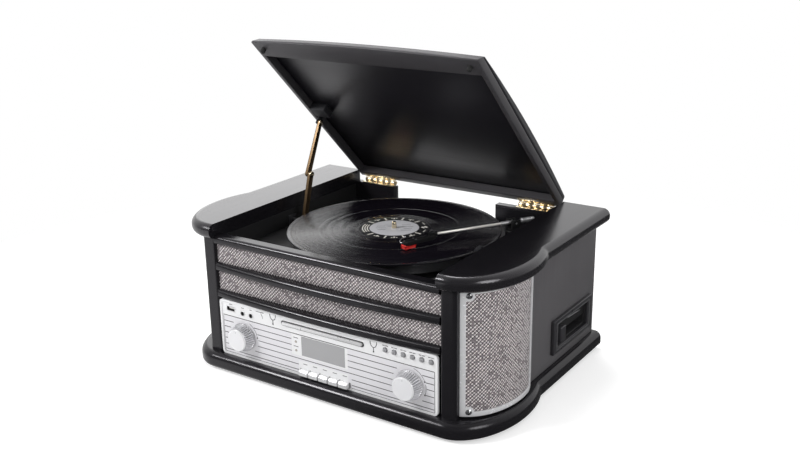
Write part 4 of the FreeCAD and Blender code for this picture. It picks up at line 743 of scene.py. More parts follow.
    def screw(self, radius: float, at: Matrix) -> "Maker":
        """Add a domed screw head with a cross recess.

        Args:
            radius: the head's radius.
            at: its place, with Z out of the surface.

        Returns:
            This maker.
        """
        turns = round_turns(self.SCREW_SIDES)
        wide, far = self.CROSS_HALF * radius, self.CROSS_REACH * radius
        rings = []
        for ring in range(self.SCREW_RINGS + 1):
            share = 1 - ring / self.SCREW_RINGS
            dome = self.DOME * radius * (1 - share ** self.DOME_POWER)
            row = []
            for angle in turns:
                x, y = radius * share * math.cos(angle), radius * share * math.sin(angle)
                in_cross = (abs(x) < wide and abs(y) < far) or (abs(y) < wide and abs(x) < far)
                row.append(self.point(at, x, y, dome - (self.CROSS_DEPTH * radius if in_cross else 0)))
            rings.append(row)
        skirt = [self.point(at, radius * math.cos(angle), radius * math.sin(angle), -self.SKIRT) for angle in turns]
        self.bands([skirt] + rings)
        bmesh.ops.remove_doubles(self.bm, verts=rings[-1], dist=self.SCREW_WELD)
        return self

    def sheet(self, place: Callable[[float, float], tuple[Vector, Vector]], flat: Point, steps: tuple[int, int],
              thick: float) -> "Maker":
        """Add a thin sheet with a second skin behind it.

        Args:
            place: the point and outward normal of a place on the sheet, from its flat coordinates.
            flat: its flat width and height.
            steps: faces along and up.
            thick: how far the second skin lies behind.

        Returns:
            This maker.
        """
        layer = self.bm.loops.layers.uv.new("weave")
        front, back, marks = [], [], {}
        for row in range(steps[1] + 1):
            front.append([])
            back.append([])
            for column in range(steps[0] + 1):
                u, v = flat[0] * column / steps[0], flat[1] * row / steps[1]
                point, normal = place(u, v)
                for skin, depth in ((front, 0.0), (back, thick)):
                    vert = self.bm.verts.new((point - normal * depth) * MM)
                    marks[vert] = (u * MM, v * MM)
                    skin[-1].append(vert)
        self.bands(front, closed=False)
        self.bands(back[::-1], closed=False)
        edge = [(r, 0) for r in range(steps[1])] + [(steps[1], c) for c in range(steps[0])]
        edge += [(r, steps[0]) for r in range(steps[1], 0, -1)] + [(0, c) for c in range(steps[0], 0, -1)]
        self.band([front[r][c] for r, c in edge], [back[r][c] for r, c in edge])
        for face in self.bm.faces:
            for loop in face.loops:
                loop[layer].uv = marks[loop.vert]
        return self

    def copied(self, node: str, ease: float) -> "Maker":
        """Add a CAD node's faces with its sharp edges eased.

        Args:
            node: the node's name.
            ease: the radius of the eased edges.

        Returns:
            This maker.
        """
        self.bm.from_mesh(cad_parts[node].data)
        bmesh.ops.remove_doubles(self.bm, verts=self.bm.verts[:], dist=self.NODE_WELD)
        bmesh.ops.dissolve_limit(self.bm, angle_limit=math.radians(self.FLAT_ANGLE), verts=self.bm.verts[:],
                                 edges=self.bm.edges[:])
        limit = math.radians(self.SHARP_ANGLE)
        sharp = [edge for edge in self.bm.edges
                 if len(edge.link_faces) == 2 and edge.calc_face_angle(0.0) > limit]
        self.round_off(sharp, ease, 2)
        return self

    def done(self, name: str, angle: float = 35.0) -> bpy.types.Object:
        """Return the faces as an object that is smooth below an angle.

        Args:
            name: the object's name.
            angle: edges sharper than this, in degrees, stay sharp.

        Returns:
            The object, with its place in its points.
        """
        bmesh.ops.recalc_face_normals(self.bm, faces=self.bm.faces[:])
        mesh = bpy.data.meshes.new(name)
        self.bm.to_mesh(mesh)
        self.bm.free()
        mesh.polygons.foreach_set("use_smooth", [True] * len(mesh.polygons))
        mesh.set_sharp_from_angle(angle=math.radians(angle))
        piece = bpy.data.objects.new(name, mesh)
        bpy.context.scene.collection.objects.link(piece)
        return piece


def dress(piece: bpy.types.Object, finish: Finish) -> None:
    """Give a piece one finish all over.

    Args:
        piece: the piece.
        finish: its finish.
    """
    piece.data.materials.clear()
    piece.data.materials.append(finish.material())


def dress_nodes(finish: Finish, *names: str) -> None:
    """Give CAD nodes one finish."""
    for name in names:
        dress(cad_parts[name], finish)


def fitted(piece: bpy.types.Object, body: str, finish: Finish, *replaced: str) -> bpy.types.Object:
    """Dress a piece and let it ride on a body.

    Args:
        piece: the piece, in place.
        body: the CAD body that it moves with.
        finish: its finish.
        replaced: CAD nodes that it stands for.

    Returns:
        The piece.
    """
    dress(piece, finish)
    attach(piece, body)
    if replaced:
        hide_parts(*replaced)
    LOG.info("piece %s on %s, %d faces", piece.name, body, len(piece.data.polygons))
    return piece


def eased(node: str, body: str, finish: Finish, ease: float) -> None:
    """Stand for a CAD node with a copy whose edges are eased."""
    fitted(Maker().copied(node, ease).done(f"{node}_eased"), body, finish, node)


def lathed(name: str, profile: Profile, at: Matrix, segments: int, body: str, finish: Finish, *replaced: str) -> None:
    """Make and fit one turned piece."""
    fitted(Maker().turned(profile, at, segments).done(name), body, finish, *replaced)


def centre_of(node: str) -> Vector:
    """Return the middle of a CAD node's box, in millimetres."""
    low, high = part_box(node)
    return (low + high) / 2 / MM


def rectangle(width: float, height: float) -> Outline:
    """Return the corners of a rectangle about its middle, anticlockwise."""
    x, y = width / 2, height / 2
    return [(x, -y), (x, y), (-x, y), (-x, -y)]


def stadium(width: float, height: float, steps: int = 10) -> Outline:
    """Return the outline of a bar with round ends.

    Args:
        width, height: its overall size.
        steps: faces on each round end.

    Returns:
        Its corners, anticlockwise about its middle.
    """
    radius, points = height / 2, []
    for side in (1, -1):
        for step in range(steps + 1):
            angle = math.pi * (step / steps - 0.5) + (0.0 if side > 0 else math.pi)
            points.append((side * (width / 2 - radius) + radius * math.cos(angle), radius * math.sin(angle)))
    return points


def arc_outline(reach: float, wide: float, start: float, end: float, steps: int = 16) -> Outline:
    """Return the outline of a band along an arc.

    Args:
        reach: the arc's outer radius.
        wide: the band's width.
        start, end: its turns in degrees.
        steps: faces along it.

    Returns:
        Its corners, anticlockwise.
    """
    turns = [math.radians(start + (end - start) * step / steps) for step in range(steps + 1)]
    outer = [(reach * math.cos(turn), reach * math.sin(turn)) for turn in turns]
    return outer + [(x * (1 - wide / reach), y * (1 - wide / reach)) for x, y in reversed(outer)]


class Assembly:
    """A sub-assembly, which makes its pieces and finishes the CAD nodes that it keeps."""

    def build(self) -> None:
        """Make the pieces."""
        raise NotImplementedError

    def dress(self) -> None:
        """Finish the CAD nodes that stay as they are, where there are any."""


@dataclass
class Cabinet(Assembly):
    """The wooden body: plinth, wing tops, posts, rails, panels, back and feet."""

    board_ease: float = 0.8
    foot_height: float = 4.0
    foot_radius: float = 12.0
    back_y: float = 173.553
    back_screw_x: tuple[float, ...] = (-212.0, -75.0, 75.0, 212.0)
    back_screw_z: tuple[float, ...] = (38.0, 152.0)
    back_screw_radius: float = 3.2

    def build(self) -> None:
        """Make the feet, the eased boards and the back's screws."""
        eased("side_panels", "cabinet", Finishes.WOOD_SIDE, self.board_ease)
        eased("back_panel", "cabinet", Finishes.WOOD_ACROSS, self.board_ease)
        feet, radius = Maker(), self.foot_radius
        profile = ((0, 0), (radius - 2.4, 0), (radius - 1.2, 0.4), (radius, 2.2), (radius, self.foot_height),
                   (0, self.foot_height))
        low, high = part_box("feet")
        for x in (low.x / MM + radius, high.x / MM - radius):
            for y in (low.y / MM + radius, high.y / MM - radius):
                feet.turned(profile, spot(x, y, 0), 48)
        fitted(feet.done("rubber_feet"), "cabinet", Finishes.RUBBER, "feet")
        screws = Maker()
        for x in self.back_screw_x:
            for z in self.back_screw_z:
                screws.screw(self.back_screw_radius, spot(x, self.back_y + 0.1, z, Turn.REAR))
        fitted(screws.done("back_screws"), "cabinet", Finishes.DARK_STEEL)

    def dress(self) -> None:
        """Lacquer the boards that stay as they were turned out."""
        dress_nodes(Finishes.WOOD_ACROSS, "plinth", "top_rail", "bowed_rails")
        dress_nodes(Finishes.WOOD_DEEP, "side_wings")
        dress_nodes(Finishes.WOOD_UPRIGHT, "front_posts")
        dress_nodes(Finishes.WELL_PAINT, "inner_frame")


@dataclass
class Speakers(Assembly):
    """The curved cloths with their frames and screws, and the cloth strips between the front rails."""

    lobe_x: float = 190.0
    lobe_y: float = 92.0 + FRONT_Y
    half_x: float = 52.5
    half_y: float = 82.0
    start_x: float = 203.3
    rear_y: float = 121.2 + FRONT_Y
    arc_steps: int = 400
    cloth_out: float = 2.05
    crown: float = 0.85
    foot: float = 29.2
    height: float = 164.4
    thick: float = 1.2
    strip_half: float = 180.8
    strip_y: float = 3.4 + FRONT_Y
    strip_feet: tuple[float, float] = (120.2, 159.7)
    strip_height: float = 27.1
    frame_ease: float = 0.45
    screw_x: float = 211.0
    screw_z: tuple[float, float] = (35.0, 187.8)
    screw_out: float = 4.05
    screw_radius: float = 4.0

    def curve(self, angle: float, out: float) -> Vector:
        """Return a point outside the right speaker's curve at a turn from its front."""
        return Vector((self.lobe_x + (self.half_x + out) * math.sin(angle),
                       self.lobe_y - (self.half_y + out) * math.cos(angle), 0))

    def outward(self, angle: float) -> Vector:
        """Return the way out of the right speaker's curve at a turn from its front."""
        return Vector((math.sin(angle) / self.half_x, -math.cos(angle) / self.half_y, 0)).normalized()

    def arc_table(self) -> list[tuple[float, float]]:
        """Measure the cloth along its curve.

        Returns:
            Arc lengths and the turns they are reached at.
        """
        start = math.asin((self.start_x - self.lobe_x) / (self.half_x + self.cloth_out))
        end = math.pi - math.acos((self.rear_y - self.lobe_y) / (self.half_y + self.cloth_out))
        table, total = [(0.0, start)], 0.0
        for step in range(1, self.arc_steps + 1):
            angle = start + (end - start) * step / self.arc_steps
            total += (self.curve(angle, self.cloth_out) - self.curve(table[-1][1], self.cloth_out)).length
            table.append((total, angle))
        return table

    def cloth(self, name: str, place: Callable[[float, float], tuple[Vector, Vector]], flat: tuple[float, float],
              steps: tuple[int, int]) -> None:
        """Args:
            name: the piece's name.
            place: the point and outward normal of a place on the cloth, from its flat coordinates.
            flat: its flat width and height.
            steps: faces along and up.
        """
        sheet = Maker().sheet(place, flat, steps, self.thick).done(name, 60)
        piece = fitted(sheet, "cabinet", Finishes.TWEED, "grille_cloths")
        flat[0] * MM
        flat[1] * MM

    def curved_cloth(self, name: str, side: int) -> None:
        """Make one lobe's cloth.

        Args:
            name: the piece's name.
            side: 1 for the right lobe, -1 for the left one.
        """
        table = self.arc_table()
        length = table[-1][0]

        def place(u: float, v: float) -> tuple[Vector, Vector]:
            """Return the point and normal of a place on the cloth."""
            angle = min(table, key=lambda entry: abs(entry[0] - u))[1]
            s, t = 2 * u / length - 1, 2 * v / self.height - 1
            rise = self.crown * max(0.0, 1 - abs(s) ** 3.0) * max(0.0, 1 - t ** 4)
            point, normal = self.curve(angle, self.cloth_out + rise), self.outward(angle)
            point.z = self.foot + v
            point.x *= side
            normal.x *= side
            return point, normal

        self.cloth(name, place, (length, self.height), (64, 40))

    def strip_cloth(self, name: str, foot: float) -> None:
        """Make one flat cloth strip.

        Args:
            name: the piece's name.
            foot: the height of its lower edge.
        """
        width = 2 * self.strip_half

        def place(u: float, v: float) -> tuple[Vector, Vector]:
            """Return the point and normal of a place on the cloth."""
            s, t = 2 * u / width - 1, 2 * v / self.strip_height - 1
            rise = self.crown * (1 - s ** 8) * (1 - t ** 4)
            return Vector((u - self.strip_half, self.strip_y - rise, foot + v)), Vector((0, -1, 0))

        self.cloth(name, place, (width, self.strip_height), (120, 14))

    def build_screws(self) -> None:
        """Make the four frame screws, which face out of the curve, each turned its own way."""
        angle = math.asin((self.screw_x - self.lobe_x) / self.half_x)
        normal = self.outward(angle)
        point = self.curve(angle, 0) + normal * self.screw_out
        screws = Maker()
        for side in (1, -1):
            turn = Vector((normal.x * side, normal.y, 0)).to_track_quat("Z", "Y").to_matrix().to_4x4()
            for z in self.screw_z:
                at = Matrix.Translation(Vector((point.x * side, point.y, z)) * MM) @ turn
                screws.screw(self.screw_radius, at @ Matrix.Rotation(0.5 + z, 4, "Z") @ Matrix.Scale(MM, 4))
        fitted(screws.done("frame_screw_heads"), "cabinet", Finishes.STEEL, "frame_screws")

    def build(self) -> None:
        """Make the cloths, the frames and their screws."""
        self.curved_cloth("speaker_cloth_right", 1)
        self.curved_cloth("speaker_cloth_left", -1)
        for number, foot in enumerate(self.strip_feet):
            self.strip_cloth(f"front_cloth_{number + 1}", foot)
        eased("speaker_frames", "cabinet", Finishes.SILVER_FRAME, self.frame_ease)
        self.build_screws()

    def dress(self) -> None:
        """Finish the loudspeakers behind the cloth."""
        dress_nodes(Finishes.BLACK_PLASTIC, "speaker_drivers")


@dataclass
class Turntable(Assembly):
    """The deck, platter, grooved record, label, spindle and drive."""

    x: float = 2.0
    y: float = 168.5 + FRONT_Y
    record_foot: float = 192.0
    record_top: float = 194.0
    radius: float = 150.8
    hole: float = 3.62
    sunk: float = 0.18
    dead_wax: float = 65.0
    first_groove: float = 146.0
    groove_pitch: float = 0.8
    groove_depth: float = 0.17
    groove_section: tuple = ((0.0, 0.0), (0.25, 0.5), (0.5, 1.0), (0.75, 0.5))
    track_gap: float = 93.0
    gap_half: float = 1.1
    label: float = 50.0
    label_inner: float = 35.0
    label_top: float = 194.2
    away: float = 124.0
    ink: float = 0.12
    stroke_fan: tuple[float, ...] = (-51.0, -34.0, -17.0, 0.0, 17.0, 34.0, 51.0)
    stroke_long: tuple[float, float] = (10.0, 5.0)
    stroke_reach: float = 42.2
    stroke_wide: float = 2.3
    dot_reach: float = 43.6
    dot_aside: float = 3.4
    dot_size: tuple[float, float] = (2.4, 2.0)
    arc_reach: tuple[float, ...] = (38.6, 42.0, 45.4)
    slash_lean: tuple[float, ...] = (-20.0, 25.0, 70.0)
    slash_reach: float = 42.4
    short_arcs: tuple[float, ...] = (-74.0, -118.0)
    line_rows: tuple = ((-19, 8, 12), (-19, 0, 15), (-18, -8, 11), (17, 12, 13), (19, 4, 16), (19, -4, 12),
                        (16, -12, 14))

    def record_profile(self) -> Outline:
        """Draw the record's section from its underside over the grooves to the label.

        Returns:
            Radius and height of each ring.
        """
        top, radius, foot = self.record_top, self.radius, self.record_foot
        floor = top - self.sunk
        profile = [(self.hole, foot), (radius - 0.6, foot), (radius, foot + 0.6), (radius, top - 0.6),
                   (radius - 0.5, top - 0.08), (radius - 1.4, top), (radius - 2.4, top - 0.12),
                   (self.first_groove + 0.9, floor), (self.first_groove + 0.3, floor)]
        reach = self.first_groove
        while reach > self.dead_wax:
            dip = 0.0 if abs(reach - self.track_gap) < self.gap_half else self.groove_depth
            for share, depth in self.groove_section:
                profile.append((reach - share * self.groove_pitch, floor - dip * depth))
            reach -= self.groove_pitch
        edge, wax = self.label + 1.6, top - 0.2
        profile += [(reach - 0.3, wax), (reach - 0.8, wax), (edge + 0.5, wax), (edge, wax), (edge - 0.8, top - 0.03),
                    (self.label, top), (self.hole, top)]
        return profile

    def build_marks(self, at: Matrix) -> None:
        """Make the label's cream strokes, dots and arcs, of a plain design.

        Args:
            at: the spindle's place.
        """
        marks, high = Maker(), self.label_top
        for turn in (self.away, self.away + 180):
            for number, lean in enumerate(self.stroke_fan):
                ray = at @ spin(turn + lean)
                size = (self.stroke_long[number % 2], self.stroke_wide, self.ink)
                marks.block(size, ray @ moved(self.stroke_reach, 0, high), 0.05, 1)
                if number % 2:
                    for aside in (-self.dot_aside, self.dot_aside):
                        marks.block((*self.dot_size, self.ink), ray @ moved(self.dot_reach, aside, high), 0.05, 1)
        lift = at @ moved(0, 0, high - 0.04)
        for reach in self.arc_reach:
            marks.prism(arc_outline(reach, 1.5, self.away + 66, self.away + 114), 0.1, lift)
        ray = at @ spin(self.away - 90)
        for lean in self.slash_lean:
            marks.block((9.0, 2.2, self.ink), ray @ moved(self.slash_reach, 0, high) @ spin(lean), 0.05, 1)
        for start in self.short_arcs:
            marks.prism(arc_outline(45.6, 1.0, self.away + start, self.away + start + 12), 0.1, lift)
        fitted(marks.done("label_marks"), "turntable", Finishes.LABEL_CREAM)
        lines = Maker()
        for x, y, long in self.line_rows:
            lines.block((long, 0.9, 0.08), ray @ moved(x, y, high), 0.03, 1)
        fitted(lines.done("label_lines"), "turntable", Finishes.LABEL_BLACK)

    def build_label(self, at: Matrix) -> None:
        """Make the label: a silver middle, a black border and its marks.

        Args:
            at: the spindle's place.
        """
        low, high = self.record_top - 0.05, self.label_top
        inner, outer = self.label_inner, self.label
        silver = ((self.hole, low), (inner, low), (inner, high - 0.05), (inner - 0.3, high), (8.0, high),
                  (7.7, high - 0.06), (7.3, high), (self.hole, high), (self.hole, low))
        lathed("label_centre", silver, at, 128, "turntable", Finishes.LABEL_SILVER)
        black = ((inner, low), (outer, low), (outer, high - 0.08), (outer - 0.4, high - 0.02), (inner, high - 0.02),
                 (inner, low))
        lathed("label_border", black, at, 128, "turntable", Finishes.LABEL_BLACK)
        self.build_marks(at)

    def build(self) -> None:
        """Make the record with its label, and the spindle."""
        at = spot(self.x, self.y, 0)
        grooves = self.record_profile()
        record = Maker().turned(grooves + grooves[:1], at, 240).done("grooved_record", 50)
        fitted(record, "turntable", Finishes.VINYL, "record")
        self.build_label(at)
        foot, tip = (corner.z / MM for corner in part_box("spindle"))
        pin = ((0, foot), (3.2, foot), (3.5, foot + 0.4), (3.5, tip - 4.5), (3.4, tip - 3.0), (2.9, tip - 1.4),
               (1.9, tip - 0.35), (0.8, tip), (0, tip))
        lathed("spindle_pin", pin, at, 48, "turntable", Finishes.BRASS, "spindle")

    def dress(self) -> None:
        """Finish the deck, the platter and the drive under it."""
        dress_nodes(Finishes.DECK_BLACK, "deck_plate")
        dress_nodes(Finishes.STEEL, "platter", "motor_pulley")
        dress_nodes(Finishes.DARK_STEEL, "drive_motor")
        dress_nodes(Finishes.RUBBER, "drive_belt")


@dataclass
class Tonearm(Assembly):
    """The arm on its pedestal, with headshell, cartridge, finger lift, rest and speed switch."""

    x: float = 149.0
    y: float = 246.0 + FRONT_Y
    z: float = 206.0
    angle: float = 237.4
    tube_end: float = 121.0
    tail: float = 32.0
    stub_end: float = 20.0
    shell_angle: float = 12.7
    shell_height: float = 6.0
    shell_outline: tuple = ((-1.0, -3.0), (9, -4.8), (44, -5), (49.2, -4.2), (50, -3.0), (50, 3.0), (49.2, 4.2),
                            (44, 5), (9, 4.8), (-1.0, 3.0))
    lift_line: tuple = ((48, -4.4, -4.2), (49.6, -6.8, -4.2), (50.2, -9.4, -3.8), (49.2, -11.8, -2.8),
                        (46.6, -13.0, -1.4), (43.2, -13.4, -0.6), (40.4, -13.2, 0.2), (38.6, -12.8, 0.9))
    lift_radius: float = 0.62

    def at(self, x: float = 0, y: float = 0, z: float = 0) -> Matrix:
        """Return a place in the arm's frame, which starts at its pivot with X along to the headshell."""
        pivot = Matrix.Translation(Vector((self.x, self.y, self.z)) * MM)
        return pivot @ spin(self.angle) @ Matrix.Scale(MM, 4) @ moved(x, y, z)

    def shell_at(self, x: float = 0, y: float = 0, z: float = 0) -> Matrix:
        """Return a place in the headshell's frame, which starts at the tube's end."""
        return self.at(self.tube_end) @ spin(self.shell_angle) @ moved(x, y, z)

    def build_base(self) -> None:
        """Make the pedestal, rest and switch."""
        foot, top = (corner.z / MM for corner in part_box("arm_pedestal"))
        column = ((4.1, foot), (13, foot), (13, foot + 2), (12.4, foot + 2.8), (11.6, foot + 3.4), (11.6, top - 3.2),
                  (12.2, top - 2.6), (12.6, top - 1.0), (12.0, top), (4.1, top), (4.1, foot))
        lathed("arm_column", column, spot(self.x, self.y, 0), 72, "cabinet", Finishes.ARM_BLACK, "arm_pedestal")
        eased("arm_gimbal", "arm_base", Finishes.ARM_BLACK, 0.8)
        eased("arm_rest", "cabinet", Finishes.BLACK_PLASTIC, 0.5)
        eased("speed_switch", "speed", Finishes.BLACK_PLASTIC, 0.7)

    def build(self) -> None:
        """Make the base, the moving arm and its headshell."""
        self.build_base()
        along = self.at() @ Turn.RIGHT.value
        start, end, tail = self.stub_end, self.tube_end, -self.tail
        bar = ((0, start), (1.5, start), (1.7, start + 0.4), (1.7, end - 0.4), (1.5, end), (0, end))
        lathed("arm_bar", bar, along, 32, "arm", Finishes.ARM_SILVER, "arm_tube")
        stub = ((0, -12), (2.1, -12), (2.1, 6), (2.7, 6.6), (2.7, 18.6), (2.4, start), (0, start))
        pin = ((0, -9), (1.3, -9), (1.5, -8.7), (1.5, 8.7), (1.3, 9), (0, 9))
        inner = Maker().turned(stub, along, 32).turned(pin, self.at() @ Turn.REAR.value, 24)
        fitted(inner.done("arm_stub"), "arm", Finishes.STUB_GREY)
        weight = [(0, tail), (3.0, tail), (3.6, tail + 0.6)]
        for ridge in range(4):
            low = tail + 2.4 + ridge * 3.0
            weight += [(3.7, low), (3.7, low + 2.0), (3.4, low + 2.3), (3.4, low + 2.7)]
        weight += [(3.7, -16.4), (3.7, -12.6), (3.1, -12), (0, -12)]
        lathed("arm_counterweight", weight, along, 40, "arm", Finishes.STUB_GREY)
        self.build_headshell()

    def build_headshell(self) -> None:
        """Make the headshell, its finger lift, the cartridge and the stylus."""
        body = Maker().prism(self.shell_outline, self.shell_height, self.shell_at(z=-self.shell_height), 1.3, 3)
        collar = ((2.2, -3.4), (3.0, -3.4), (3.3, -2.8), (3.3, 0.4), (2.2, 1.4), (2.2, -3.4))
        body.turned(collar, self.at(self.tube_end) @ Turn.RIGHT.value, 32)
        body.block((8, 5.4, 2.8), self.shell_at(5.2, 0, 0.4), 1.0)
        for step in range(3):
            body.block((1.0, 6.4, 0.5), self.shell_at(17 + 3.2 * step, 0, 0.1), 0.2, 2)
        fitted(body.done("headshell_body"), "arm", Finishes.ARM_BLACK, "headshell")
        lift = Maker().tube(self.lift_line, self.lift_radius, self.shell_at(), 14)
        fitted(lift.done("finger_lift"), "arm", Finishes.STEEL)
        pins = Maker()
        for side in (-1, 1):
            pins.screw(1.2, self.shell_at(33, side * 2.9, 0.05))
        fitted(pins.done("headshell_screws"), "arm", Finishes.DARK_STEEL)
        block = Maker().block((17, 7.6, 4.4), self.shell_at(42.8, 0, -8.2) @ Turn.DOWN.value, 1.1, 3, (0.9, 0.8))
        block.block((6, 6.4, 2.4), self.shell_at(49.6, 0, -7.9), 0.9, 3)
        fitted(block.done("cartridge_block"), "arm", Finishes.RED, "cartridge")
        needle = ((0, -1.0), (1.0, -1.0), (0.9, -0.3), (0.25, 0.0), (0, 0.0))
        lathed("stylus_tip", needle, self.shell_at(43.3, 0, -11.6) @ Turn.DOWN.value, 20, "arm", Finishes.STEEL)


@dataclass
class Front(Assembly):
    """The silver plate with its engraved field, controls, display, sockets and disc slot."""

    face_y: float = -1.0 + FRONT_Y
    field_proud: float = 0.12
    field_parts: tuple = ((-173.4, -52.0, 29.4, 85.4), (41.5, 173.4, 29.4, 85.4), (-52.0, 41.5, 47.2, 54.2),
                          (-52.0, -41.0, 29.4, 47.2))
    # Painted shade: dark lines stand at this x on both sides of the field.
    edge_shade_x: float = 173.6
    line_z: tuple[float, ...] = (85.0, 76.3, 67.6, 58.9, 50.2, 41.5, 33.4)
    line_half: float = 173.0
    line_wide: float = 1.0
    line_gaps: tuple = ((-52.0, 41.5, 54.0, 84.0), (-41.0, 47.0, 27.0, 47.0))
    # Painted shade: a thicker dark line runs along the field's foot over these spans.
    foot_shade_lines: tuple = ((-173.4, -41.0), (47.0, 173.4))
    mark_wide: float = 0.9
    word_bars: tuple = ((-159.0, 102.4, 6.0), (-137.5, 101.6, 5.0), (-122.5, 101.6, 4.0), (-106.0, 102.4, 14.0),
                        (-44.4, 79.4, 8.0), (-44.4, 66.9, 8.0))
    knob_x: float = 137.0
    knob_z: float = 59.0
    knob_gap: float = 25.5
    knob_flutes: int = 36
    knob_side: tuple = ((6, -16), (19.6, -16), (20.4, -15.6), (20.4, -15.0, 0.3), (20.2, -14.4, 3.0),
                        (19.0, -10.5, 3.2), (17.8, -6.8, 3.0), (17.0, -4.0, 2.4), (16.5, -2.8, 1.2), (16.1, -2.2),
                        (0, -2.2))
    knob_face: tuple = ((0, -2.3), (15.9, -2.3), (16.1, -1.9), (15.9, -1.1), (15.2, -0.4), (14.4, -0.15),
                        (13.2, -0.3), (11.0, -0.35), (4.0, 0.0), (0, 0))
    lamp_x: float = -44.4
    lamp_z: tuple[float, float] = (73.5, 61.0)
    ornament_x: float = 83.0
    ornament_z: float = 97.0
    buttons: int = 6
    keys: int = 5
    key_shorter: float = 2.6
    key_lift: float = 0.9
    key_tall: float = 8.2
    key_wide: float = 15.0
    jack_x: tuple[float, float] = (-137.5, -122.5)
    jack_z: float = 93.3

    def build(self) -> None:
        """Make all that is on the plate."""
        self.build_field()
        self.build_marks()
        self.build_knobs()
        self.build_buttons()
        self.build_keys()
        self.build_slot()
        self.build_sockets()

    def bar(self, lines: Maker, low: float, high: float, z: float, wide: float, proud: float = 0.0) -> None:
        """Add one thin dark bar along the plate."""
        lines.block((high - low, 0.16, wide), spot((low + high) / 2, self.face_y - proud, z), 0.05, 1)

    def build_field(self) -> None:
        """Make the brushed field with its engraved lines, and dark lines along its sides and foot that are painted
        shade where it meets the plate's rim.
        """
        panel, proud = Maker(), self.field_proud
        for low, high, foot, top in self.field_parts:
            at = spot((low + high) / 2, self.face_y + 0.1 - proud, (foot + top) / 2)
            panel.block((high - low, 0.2, top - foot), at, 0.05, 1)
        fitted(panel.done("plate_field"), "cabinet", Finishes.FIELD)
        lines = Maker()
        for z in self.line_z:
            stops = [gap[:2] for gap in self.line_gaps if gap[2] < z < gap[3]]
            if abs(z - self.knob_z) < self.knob_gap - 3:
                half = math.sqrt(self.knob_gap ** 2 - (z - self.knob_z) ** 2)
                stops += [(side * self.knob_x - half, side * self.knob_x + half) for side in (-1, 1)]
            start = -self.line_half
            for low, high in sorted(stops) + [(self.line_half, None)]:
                if low - start > 1:
                    self.bar(lines, start, low, z, self.line_wide, proud)
                start = high
        # Dark lines at the field's sides and foot: painted shade at the edge of the raised rim.
        for side in (-1, 1):
            lines.block((0.9, 0.16, 56.0), spot(side * self.edge_shade_x, self.face_y, 57.4), 0.05, 1)
        for low, high in self.foot_shade_lines:
            self.bar(lines, low, high, 29.0, 1.3, proud)
        fitted(lines.done("plate_lines_and_shade"), "cabinet", Finishes.PLATE_LINE_AND_SHADE)

    def build_marks(self) -> None:
        """Make the scale arcs, short marks, ornaments and lamps on the plate."""
        marks, wide = Maker(), self.mark_wide
        for x, arcs in ((-self.knob_x, ((8, 62),)), (self.knob_x, ((22, 75), (-22, 14)))):
            at = spot(x, self.face_y - self.field_proud + 0.03, self.knob_z, Turn.FRONT)
            for start, end in arcs:
                marks.prism(arc_outline(24.6, 0.55, start, end), 0.12, at)
                turn = math.radians(start)
                marks.turned(((0, -0.05), (1.1, -0.05), (1.1, 0.14), (0, 0.14)),
                             at @ moved(24.3 * math.cos(turn), 24.3 * math.sin(turn), 0), 20)
        for number in range(1, self.buttons + 1):
            x = centre_of(f"round_button_{number}").x
            for shift, long in ((-2.6, 3.6), (2.2, 4.2)):
                self.bar(marks, x + shift - long / 2, x + shift + long / 2, 102.8, wide)
        for number in range(1, self.keys + 1):
            x = centre_of(f"function_key_{number}").x
            self.bar(marks, x - 3.4, x + 3.4, 43.6, wide)
        for x, z, long in self.word_bars:
            self.bar(marks, x - long / 2, x + long / 2, z, wide)
        marks.prism(arc_outline(14.0, 0.7, 5, 38), 0.12, spot(-115.0, self.face_y + 0.03, 92.6, Turn.FRONT))
        turns = [math.radians(-186 + 192 * step / 20) for step in range(21)]
        cup = [(5.0 * math.cos(turn), 0, 6.4 + 7.4 * math.sin(turn)) for turn in turns]
        for side in (-1, 1):
            at = spot(side * self.ornament_x, self.face_y - 0.05, self.ornament_z)
            marks.tube(cup, 0.42, at, 10)
            marks.tube([(0, 0, -6.6), (0, 0, -1.0)], 0.5, at, 10)
            marks.tube([(0, 0, -7.4), (0, 0, -6.2)], 0.95, at, 12)
        fitted(marks.done("plate_marks"), "cabinet", Finishes.PLATE_LINE_AND_SHADE)
        lamps = Maker()
        for z in self.lamp_z:
            lamps.turned(((0, 1.1), (0.8, 1.0), (1.5, 0.6), (1.8, 0), (1.8, -0.5), (0, -0.5)),
                         spot(self.lamp_x, self.face_y, z, Turn.FRONT), 28)
        fitted(lamps.done("plate_lamps"), "cabinet", Finishes.AMBER)

    def build_knobs(self) -> None:
        """Make the two knobs: a smooth face, a flared side, and ribs that deepen towards the plate."""
        for name, body in (("volume_knob", "volume"), ("tuning_knob", "tuning")):
            middle, front = centre_of(name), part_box(name)[0].y / MM
            foot = front - self.face_y + self.field_proud + 0.1
            at = spot(middle.x, front, middle.z, Turn.FRONT)
            ribbed = Maker().turned(((0, foot), (6, foot), *self.knob_side), at, 360, self.knob_flutes)
            fitted(ribbed.done(f"{name}_ribbed", 40), body, Finishes.KNOB_SIDE, name)
            finish = Spun(f"spun_{name}", "silver_plastic", (middle.x * MM, 0.0, middle.z * MM), (1.0, 0.0, 1.0),
                          (0.8, 0.8, 0.82), 0.24, 0.08)
            fitted(Maker().turned(self.knob_face, at, 96).done(f"{name}_face", 40), body, finish, name)
            mark = Maker().block((0.7, 2.0, 0.12), at @ moved(0, 12.0, -0.3), 0.05, 1)
            fitted(mark.done(f"{name}_mark"), body, Finishes.DARK_STEEL)

